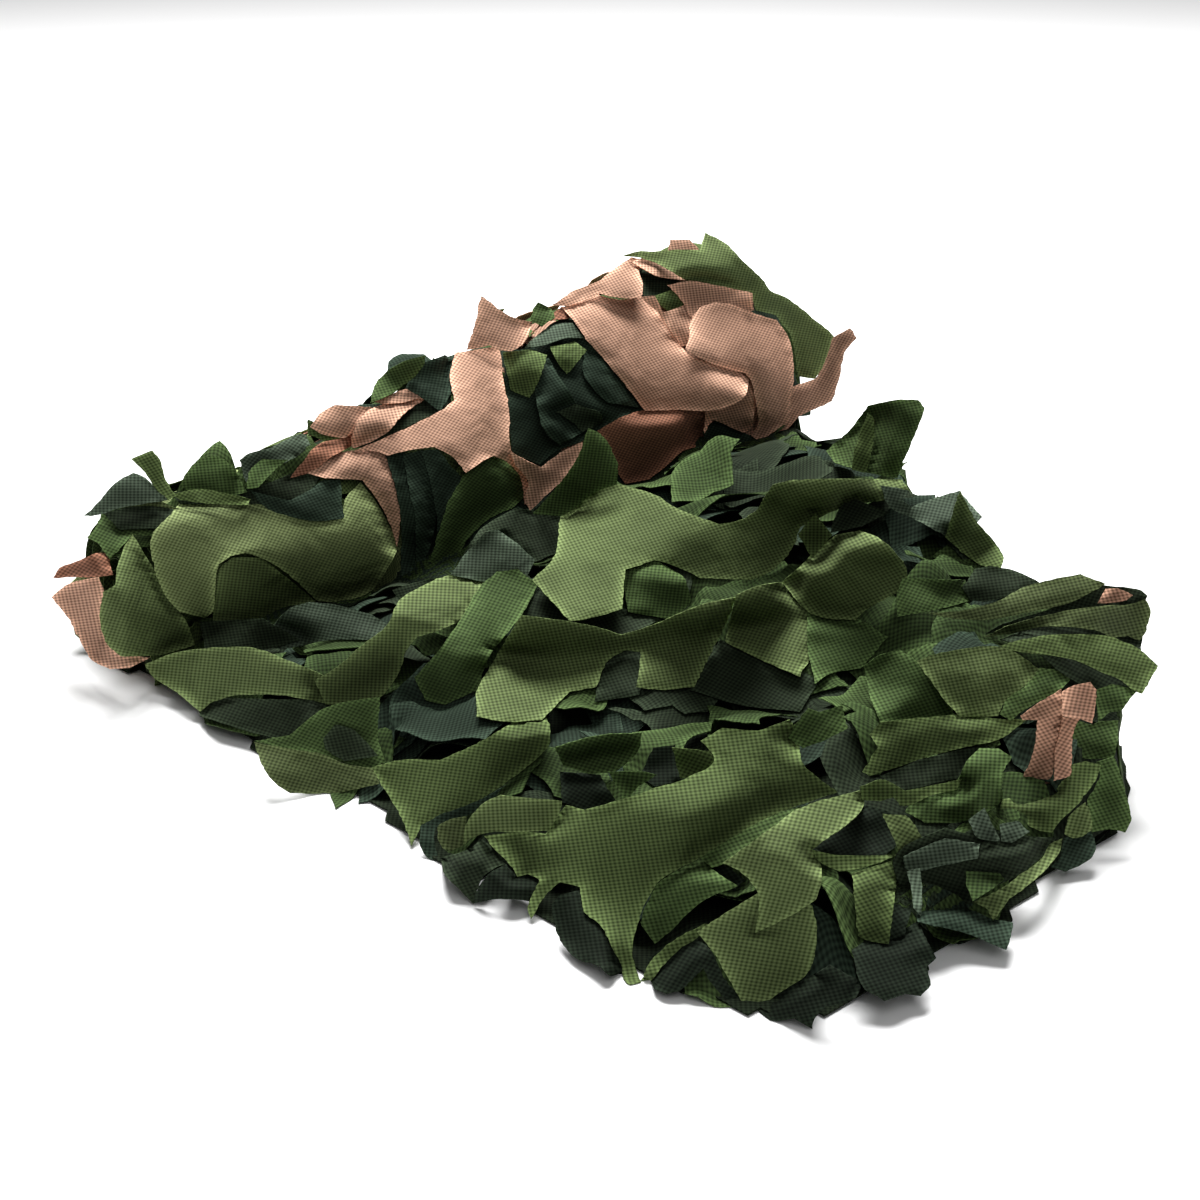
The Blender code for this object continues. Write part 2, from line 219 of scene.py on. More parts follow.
# The brown print darkened as painted shade, for the brown strips on the tail's shaded right edge
SHADED_BROWN = (0.235, 0.140, 0.098)
RUST = (0.170, 0.085, 0.056)
# Painted shade: the leaves under the front's overhang and in the hollows
SHADE_BLACK = (0.013, 0.018, 0.012)

# Colours of scattered leaves: up to which X, and the colours drawn from
ANYWHERE = math.inf
# The tail's scattered leaves lie low between the others, so their greens are darkened as painted shade: the
# first set for the lowest layer, the second, less dark, for the loose leaves, the skirt and the wall
DEEP_SHADED_COLOURS = ((ANYWHERE, (DARK, DARK, BLUE, SHADE, BLUE)),)
SHADED_COLOURS = ((ANYWHERE, (MID, DARK, SHADE, SHADE, BLUE)),)
ROLL_COLOURS = (
    (-60 * MM, (GREEN, LIGHT, MID, GREEN)),
    (0.0, (BROWN, BLUE, MID, GREEN)),
    (ANYWHERE, (BROWN, BROWN, GREEN, BLUE, MID)),
)

# Batches of scattered leaves: their first seed, their colours, the lift of the last leaf and
# of the first, and the least and the most length and curl, in mm
Batch = namedtuple("Batch", "seed colours lift length curl")
TAIL_LOOSE = Batch(400, SHADED_COLOURS, (1, 8), (24, 44), (4, 14))
TAIL_SKIRT = Batch(900, SHADED_COLOURS, (2, 6), (24, 40), (0, 5))
TAIL_UNDER = Batch(3000, DEEP_SHADED_COLOURS, (-2, 2), (34, 58), (1, 6))
TAIL_WALL = Batch(3900, SHADED_COLOURS, (-5, -3.5), (20, 32), (0, 1))
ROLL_LOOSE = Batch(6000, ROLL_COLOURS, (0, 6), (30, 52), (2, 9))
ROLL_BACK = Batch(9000, ROLL_COLOURS, (-4, -1), (28, 46), (0, 3))
ROLL_BACK_TOP = Batch(12000, ROLL_COLOURS, (-5, -3), (24, 36), (0, 1))
UNDER_TAIL_SEED, UNDER_ROLL_SEED = 11, 12

# Where they lie on the tail: two corners and the step between places, or rows beside the right
# edge: how far from it and by how much uneven, in mm, from where to where along Y, and the step
TAIL_LOOSE_PLACES = ((-0.150, -0.272), (0.125, -0.01), 26 * MM)
TAIL_UNDER_PLACES = ((-0.155, -0.28), (0.13, -0.005), 24 * MM)
SKIRT_PLACES = ((0,), (-5, 4), (-0.262, 0.012), 4.5 * MM)
WALL_PLACES = ((-2, -14, -28), (-3, 3), (-0.255, 0.0), 13 * MM)

# Where they lie on the roll: two corners, as X and degrees forward from its top, and the step
ROLL_BATCHES = (
    (ROLL_LOOSE, (-0.128, -165), (0.115, 165), 21 * MM),
    (ROLL_BACK, (-0.14, -155), (0.125, -45), 18 * MM),
    (ROLL_BACK_TOP, (-0.14, -70), (0.125, -8), 17 * MM),
)


# The camera's lines


def level_line(angle):
    """A level direction, as far round from X as the angle says."""
    return np.array((math.cos(angle), math.sin(angle), 0.0))


def view_axes():
    level = np.array((math.sin(CAMERA_TURN), math.cos(CAMERA_TURN), 0.0))
    right = np.array((math.cos(CAMERA_TURN), -math.sin(CAMERA_TURN), 0.0))
    rise = np.array((0.0, 0.0, 1.0))
    ahead = level * math.cos(CAMERA_DOWN) - rise * math.sin(CAMERA_DOWN)
    up = level * math.sin(CAMERA_DOWN) + rise * math.cos(CAMERA_DOWN)
    return level, ahead, right, up


LEVEL, AHEAD, RIGHT, UP = view_axes()


def view_lines(spots):
    """The direction of the camera's line through each picture point, one unit deep."""
    across = (spots[:, 0] - PICTURE / 2) / FOCAL_POINTS
    above = (PICTURE / 2 - spots[:, 1]) / FOCAL_POINTS
    return AHEAD + across[:, None] * RIGHT + above[:, None] * UP


def picture_spots(points):
    """Where points show in the picture."""
    apart = points - CAMERA_PLACE
    scale = FOCAL_POINTS / (apart @ AHEAD)
    return np.column_stack((PICTURE / 2 + scale * (apart @ RIGHT), PICTURE / 2 - scale * (apart @ UP)))


def depth_of(points):
    return (points - CAMERA_PLACE) @ AHEAD


def search(lines, depths, lift, height_over):
    """The step of each line that first comes within lift of the surface, or else passes nearest."""
    points = CAMERA_PLACE + depths[..., None] * lines[:, None, :]
    over = height_over(points) - lift[:, None]
    below = over <= 0
    met = below.any(axis=1)
    return np.where(met, below.argmax(axis=1), over.argmin(axis=1))


def first_meeting(spots, lift, height_over):
    """Where the camera's line through each picture point meets the surface, lift above it."""
    lines = view_lines(spots)
    depths = np.linspace(NEAREST, FARTHEST, COARSE_STEPS)
    step = depths[1] - depths[0]
    index = search(lines, np.broadcast_to(depths, (len(lines), COARSE_STEPS)), lift, height_over)
    for _ in range(FINE_ROUNDS):
        near = depths[index] if depths.ndim == 1 else depths[np.arange(len(lines)), index]
        depths = near[:, None] + np.linspace(-step, step, FINE_STEPS)
        step = 2 * step / (FINE_STEPS - 1)
        index = search(lines, depths, lift, height_over)
    depth = depths[np.arange(len(lines)), index]
    return CAMERA_PLACE + depth[:, None] * lines


# Maps of what is laid so far

TRIANGLE_SHARES = [
    np.array((i, j, 4 - i - j)) / 4 for i in range(5) for j in range(5) if i + j <= 4
]
AROUND = [(i, j) for i in (-1, 0, 1) for j in (-1, 0, 1)]


class Map:
    """The least or the greatest value laid so far at each spot, in square cells."""

    def __init__(self, low, high, cell, keep, empty):
        self.low, self.cell, self.keep = np.array(low), cell, keep
        counts = np.ceil((np.array(high) - self.low) / cell).astype(int) + 1
        self.values = np.full(counts, empty)

    def cells(self, spots):
        index = np.rint((spots - self.low) / self.cell).astype(int)
        return tuple(np.clip(index, 0, np.array(self.values.shape) - 1).T)

    def around(self, spots):
        """What holds for each spot: the value there, or that of a cell next to it."""
        near = [self.values[self.cells(spots + np.array(shift) * self.cell)] for shift in AROUND]
        return self.keep.reduce(near)

    def lay(self, spots, values):
        self.keep.at(self.values, self.cells(spots), values)

    def cover(self, spots, values, faces):
        """Lays triangles, read at several points of each."""
        for shares in TRIANGLE_SHARES:
            places = (spots[faces] * shares[None, :, None]).sum(axis=1)
            self.lay(places, values[faces] @ shares)


class Surface(Map):
    """A surface that leaves lie on, with a chart, and a map of how low the cloth laid so far
    reaches over it. The next leaf down has to stay under that."""

    def __init__(self, low, high):
        super().__init__(low, high, MAP_CELL, np.minimum, np.inf)

    def clear_sight(self, points):
        """Keeps the camera's lines to these points free."""
        towards = CAMERA_PLACE - points
        towards /= np.linalg.norm(towards, axis=1)[:, None]
        low, high = self.low, self.low + self.cell * np.array(self.values.shape)
        for step in np.arange(0.0, SIGHT_LENGTH, self.cell):
            chart, lift = self.chart(points + step * towards)
            here = ((chart > low) & (chart < high)).all(axis=1) & (lift < SIGHT_LENGTH)
            self.lay(chart[here], lift[here])


def step_up(value):
    value = np.clip(value, 0.0, 1.0)
    return value * value * (3 - 2 * value)


def tail_right(y):
    return np.interp(y, TAIL_Y, TAIL_RIGHT)


class Tail(Surface):
    """Its chart is X and Y, and its lift is straight up."""

    def __init__(self):
        super().__init__(*TAIL_CHART)

    @staticmethod
    def base(x, y):
        """Height of the folded layers, which falls to the floor past their edges."""
        low, high = TAIL_HEIGHT
        rise = np.clip((x - TAIL_LEFT) / TAIL_RISE_LENGTH, 0.0, 1.0) ** TAIL_RISE_POWER
        height = low + (high - low) * np.interp(y, TAIL_SWELL_Y, TAIL_SWELL) * rise
        from_left, from_front = x - TAIL_LEFT, y - TAIL_FRONT
        inside = np.minimum(np.minimum(from_left, tail_right(y) - x), from_front)
        inside = np.minimum(inside, (from_left + from_front - TAIL_CORNER) / math.sqrt(2))
        first, second = (np.sin(a * x + b * y + shift) for a, b, shift in TOP_WAVE_TURNS)
        height = height + TOP_WAVE * (first * second) * np.clip(LOW_WAVE_SHARE + rise, 0, 1)
        return height * step_up((inside + TAIL_EDGE) / (TAIL_EDGE_SHARE * TAIL_EDGE))

    def height_over(self, points):
        return points[..., 2] - self.base(points[..., 0], points[..., 1])

    def chart(self, points):
        return points[:, :2], self.height_over(points)

    def from_chart(self, chart, lift):
        height = self.base(chart[:, 0], chart[:, 1]) + lift
        return np.column_stack((chart, height))


class Roll(Surface):
    """Its chart is the place along X, and the distance round from the top at the middle radius."""

    MIDDLE = 36 * MM

    def __init__(self):
        around = math.pi * self.MIDDLE
        left, right = ROLL_CHART_X
        super().__init__((left, -around), (right, around))

    @staticmethod
    def radius(x):
        return np.interp(x, ROLL_X, ROLL_RADIUS)

    def out_of(self, points):
        """How far points are from the roll's skin, out from its axis."""
        radius = self.radius(points[..., 0])
        return np.hypot(points[..., 1], points[..., 2] - radius + ROLL_SINK) - radius

    def height_over(self, points):
        x = points[..., 0]
        past = np.maximum(ROLL_X[0] - ROLL_PAST - x, x - ROLL_X[-1] - ROLL_PAST)
        return np.maximum(self.out_of(points), past)

    def chart(self, points):
        x = points[:, 0]
        angle = np.arctan2(-points[:, 1], points[:, 2] - self.radius(x) + ROLL_SINK)
        return np.column_stack((x, angle * self.MIDDLE)), self.out_of(points)

    def from_chart(self, chart, lift):
        x = chart[:, 0]
        angle = chart[:, 1] / self.MIDDLE
        reach = self.radius(x) + lift
        height = self.radius(x) - ROLL_SINK + reach * np.cos(angle)
        return np.column_stack((x, -reach * np.sin(angle), height))


TAIL = Tail()
ROLL = Roll()

# How deep the camera sees, over the leaves laid so far. The next leaf down has to stay behind.
SIGHT = Map((0, 0), (PICTURE, PICTURE), SIGHT_CELL, np.maximum, -np.inf)


# Leaves: an outline, filled with small triangles


def turned(flat, angle):
    turn = np.array(((math.cos(angle), -math.sin(angle)), (math.sin(angle), math.cos(angle))))
    return flat @ turn.T


def rounded_outline(points, step):
    """The outline as evenly spaced points: round through its open corners, sharp at its tips."""
    before, after = np.roll(points, 1, axis=0), np.roll(points, -1, axis=0)
    into, out = points - before, after - points
    cosine = (into[:, :2] * out[:, :2]).sum(axis=1)
    cosine /= np.linalg.norm(into[:, :2], axis=1) * np.linalg.norm(out[:, :2], axis=1) + TINY
    sharp = cosine < SHARP_COSINE
    line = []
    for i in range(len(points)):
        j = (i + 1) % len(points)
        length = np.linalg.norm(out[i, :2])
        leave = out[i] if sharp[i] else (into[i] + out[i]) / 2
        arrive = out[i] if sharp[j] else (out[i] + out[j]) / 2
        leave = leave * length / (np.linalg.norm(leave[:2]) + TINY)
        arrive = arrive * length / (np.linalg.norm(arrive[:2]) + TINY)
        pieces = max(1, int(round(length / step)))
        for share in np.arange(pieces) / pieces:
            a, b = share * share, share**3
            line.append(
                points[i] * (2 * b - 3 * a + 1)
                + leave * (b - 2 * a + share)
                + points[j] * (3 * a - 2 * b)
                + arrive * (b - a)
            )
    return np.array(line)


def inside_outline(spots, outline):
    """Which spots are inside, and how far each is from the outline."""
    start, end = outline, np.roll(outline, -1, axis=0)
    run = end - start
    gap = spots[:, None, :] - start[None, :, :]
    share = np.clip((gap * run).sum(-1) / ((run * run).sum(-1) + 1e-18), 0, 1)
    away = np.linalg.norm(gap - share[..., None] * run, axis=-1).min(axis=1)
    spans = (start[None, :, 1] > spots[:, None, 1]) != (end[None, :, 1] > spots[:, None, 1])
    rise = np.where(np.abs(run[:, 1]) < 1e-15, 1e-15, run[:, 1])
    cross = start[:, 0] + run[:, 0] * (spots[:, None, 1] - start[:, 1]) / rise
    crossings = (spans & (spots[:, None, 0] < cross)).sum(axis=1)
    return crossings % 2 == 1, away


def fill_outline(outline, step):
    """Triangles that fill the outline: points with their lift, faces, and distance from the edge."""
    edge = outline[:, :2]
    low, high = edge.min(axis=0), edge.max(axis=0)
    rows = np.arange(low[1] + step / 2, high[1], step * ROW_SHARE)
    spots = [
        (x, y)
        for i, y in enumerate(rows)
        for x in np.arange(low[0] + step * (ROW_START + ROW_SHIFT * (i % 2)), high[0], step)
    ]
    spots = np.array(spots).reshape(-1, 2)
    inside, away = inside_outline(spots, edge)
    spots = spots[inside & (away > EDGE_FREE * step)]
    flat = np.vstack((edge, spots))
    loop = list(range(len(outline)))
    made = delaunay_2d_cdt([Vector(spot) for spot in flat], [], [loop], 1, 1e-9, False)
    points = np.array([tuple(point) for point in made[0]])
    faces = np.array(made[2])
    kept, _ = inside_outline(points[faces].mean(axis=1), edge)
    _, away = inside_outline(points, edge)
    gap = np.linalg.norm(points[:, None, :] - edge[None, :, :], axis=-1)
    weight = 1.0 / (gap + LIFT_NEAR * step) ** LIFT_POWER
    lift = (weight * outline[:, 2]).sum(axis=1) / weight.sum(axis=1)
    return points, lift, faces[kept], away


def neighbours(faces):
    pairs = np.vstack((faces[:, [0, 1]], faces[:, [1, 2]], faces[:, [2, 0]]))
    return np.unique(np.sort(pairs, axis=1), axis=0)


def smoothed(values, pairs, rounds, amount=0.5):
    count = np.bincount(pairs.ravel(), minlength=len(values)).clip(1)
    for _ in range(rounds):
        total = np.bincount(pairs[:, 0], values[pairs[:, 1]], len(values))
        total += np.bincount(pairs[:, 1], values[pairs[:, 0]], len(values))
        values = values + amount * (total / count - values)
    return values


def ripples(points, seed, size):
    """Soft uneven waves about size across, from about -1 to 1."""
    draw = np.random.default_rng(seed)
    total = np.zeros(len(points))
    for _ in range(RIPPLE_COUNT):
        direction = draw.normal(size=3)
        direction *= draw.uniform(*RIPPLE_TURNS) * math.tau / (size * np.linalg.norm(direction))
        total += np.sin(points @ direction + draw.uniform(0, math.tau))
    return total / RIPPLE_SCALE


class Leaves:
    """The leaves of one piece, gathered before they become one mesh."""

    def __init__(self, name):
        self.name = name
        self.points, self.faces, self.tints, self.threads = [], [], [], []
        self.count = 0

    def add(self, points, faces, tint, away, flat, turn=0.0):
        """Adds one leaf. Its threads run along the sides of its flat shape, turned by turn."""
        self.threads.append(turned(flat, turn))
        self.points.append(points)
        self.faces.append(faces + self.count)
        # rim: a painted highlight along the leaf's cut edge, carried in the tint's alpha
        rim = np.exp(-np.broadcast_to(away, len(points)) / RIM_HIGHLIGHT_WIDTH)
        self.tints.append(np.column_stack((np.tile(tint, (len(points), 1)), rim)))
        self.count += len(points)

    def build(self, material):
        points, faces = np.vstack(self.points), np.vstack(self.faces)
        tints, threads = np.vstack(self.tints), np.vstack(self.threads)
        points[:, 2] = np.maximum(points[:, 2], LEAST_HEIGHT)
        mesh = bpy.data.meshes.new(self.name)
        mesh.from_pydata(points.tolist(), [], faces.tolist())
        mesh.shade_smooth()
        colour = mesh.color_attributes.new("tint", "FLOAT_COLOR", "POINT")
        colour.data.foreach_set("color", tints.ravel())
        layer = mesh.uv_layers.new(name="threads")
        loops = np.empty(len(mesh.loops), np.int32)
        mesh.loops.foreach_get("vertex_index", loops)
        layer.data.foreach_set("uv", threads[loops].ravel())
        piece = bpy.data.objects.new(self.name, mesh)
        bpy.context.scene.collection.objects.link(piece)
        mesh.materials.append(material)
        solidify = piece.modifiers.new("thickness", "SOLIDIFY")
        solidify.thickness = CLOTH
        solidify.offset = 0.0
        sharpen_cut_edges(mesh)
        return piece


def sharpen_cut_edges(mesh):
    """Keeps the shading of a leaf's faces apart from that of its cut edge."""
    used = np.empty(len(mesh.loops), np.int32)
    mesh.loops.foreach_get("edge_index", used)
    single = np.bincount(used, minlength=len(mesh.edges)) == 1
    marks = mesh.attributes.new("sharp_edge", "BOOLEAN", "EDGE")
    marks.data.foreach_set("value", single)


def size_of(points, faces):
    """The side of a typical triangle, in the points' own units."""
    corners = points[faces]
    return float(np.linalg.norm(corners[:, 1] - corners[:, 0], axis=-1).mean())


def turned_up(points, angle):
    """0 over most of a leaf, rising to 1 where one side of it curls up."""
    along = points @ level_line(angle)
    share = (along - along.min()) / max(np.ptp(along), 1e-9)
    return np.clip((share - CURL_FROM) / (1 - CURL_FROM), 0, 1) ** 2


def creased(points, draw):
    """Soft straight folds across a leaf, as a height."""
    middle = points.mean(axis=0)
    reach = np.linalg.norm(points - middle, axis=1).max()
    total = np.zeros(len(points))
    for _ in range(CREASES):
        across = (points - middle) @ level_line(draw.uniform(0, math.tau))
        across -= draw.uniform(-CREASE_OFFSET, CREASE_OFFSET) * reach
        slope = draw.uniform(*CREASE_SLOPE) * draw.choice((-1.0, 1.0))
        total += slope * np.hypot(across, CREASE_ROUNDING)
    return total - total.mean()


def shaped(points, away, crown, curl, seed):
    """What a leaf adds to its plain lift: crown, folds, waves, a curled side and a wavy rim."""
    draw = np.random.default_rng(seed)
    swell = np.clip(away / max(away.max(), 1e-9), 0, 1) ** SWELL_POWER
    lift = crown * swell + creased(points, draw)
    lift += WAVE * ripples(points, seed, WAVE_LENGTH)
    lift += curl * turned_up(points, draw.uniform(0, math.tau))
    rim = np.exp(-away / EDGE_BAND)
    return lift + EDGE_WAVE * rim * (EDGE_LIFT + ripples(points, seed + 2, EDGE_WAVE_LENGTH))


# Leaves read off the picture


def stood_up(points):
    """The leaves of the tail stand up a little: their far edges are higher than their near ones."""
    behind = points @ LEVEL
    behind -= np.percentile(behind, STAND_FROM)
    return STAND_LIMIT * (1 - np.exp(-STAND_SLOPE * np.maximum(behind, 0) / STAND_LIMIT))


def picture_leaf(leaves, surface, tint, crown, outline, seed, from_floor, raised):
    """A leaf whose outline is in picture points, each with its lift in mm."""
    outline = np.array(outline, float).reshape(-1, 3) * (1.0, SQUEEZE, MM * raised)
    outline = rounded_outline(outline, FINENESS)
    draw = np.random.default_rng(seed)
    outline[:, :2] += draw.normal(scale=CUT_JITTER, size=(len(outline), 2))
    flat, lift, faces, away = fill_outline(outline, FINENESS)
    pairs = neighbours(faces)
    spots = flat / (1.0, SQUEEZE)
    lines = view_lines(spots)

    def locate(lift):
        if not from_floor:
            return first_meeting(spots, lift, surface.height_over)
        height = np.maximum(lift, LEAST_HEIGHT)
        return CAMERA_PLACE + ((height - CAMERA_PLACE[2]) / lines[:, 2])[:, None] * lines

    rough = locate(lift)
    away = away * size_of(rough, faces) / size_of(flat, faces)
    lift = lift + shaped(rough, away, crown * MM, draw.uniform(*PICTURE_CURL) * MM, seed)
    if surface is TAIL and not from_floor:
        lift += stood_up(rough)
    if not from_floor:
        lift = np.maximum(lift, 0.0)
    depth = depth_of(locate(smoothed(lift, pairs, FIRST_SMOOTHING)))
    behind = SIGHT.around(spots) + CLEARANCE
    for _ in range(PICTURE_ROUNDS):
        depth = np.maximum(smoothed(depth, pairs, SMOOTH_ROUNDS), behind)
    points = CAMERA_PLACE + depth[:, None] * lines
    SIGHT.cover(spots, depth, faces)
    cut = spots * (1.0, CUT_STRETCH) * depth.mean() / FOCAL_POINTS
    leaves.add(points, faces, tint, away, cut, draw.uniform(*PICTURE_TURN))


def picture_leaves(leaves, surface, table, first_seed, raised=1.0, from_floor=False):
    """Lays the leaves of a table from its last, which is uppermost, to its first."""
    for number, (tint, crown, outline) in reversed(list(enumerate(table.values()))):
        seed = first_seed + number
        picture_leaf(leaves, surface, tint, crown, outline, seed, from_floor, raised)


# The net's outline in the picture, in picture points. All of the net is behind it.
NET_OUTLINE = np.array((
    51,598, 55,575, 90,553, 86,538, 98,520, 84,515, 100,498, 131,472, 131,459, 152,450, 168,478,
    178,478, 213,456, 238,470, 250,452, 306,433, 308,419, 335,404, 372,404, 376,383, 400,362, 430,354,
    467,350, 481,297, 530,320, 537,302, 560,303, 600,279, 640,252, 700,248, 705,233, 765,285, 833,336,
    852,328, 832,401, 790,425, 830,449, 868,408, 922,402, 905,478, 912,505, 959,491, 982,517, 1003,558,
    1003,578, 1060,588, 1128,589, 1151,600, 1143,638, 1158,666, 1142,693, 1118,725, 1118,757, 1131,815,
    1125,833, 1096,845, 1060,873, 1012,921, 1006,951, 970,938, 936,960, 920,996, 857,1000, 812,1028,
    740,1013, 655,985, 600,975, 540,925, 500,885, 448,879, 412,835, 340,795, 272,780, 230,725, 160,681,
    110,669, 80,645,
), float).reshape(-1, 2)

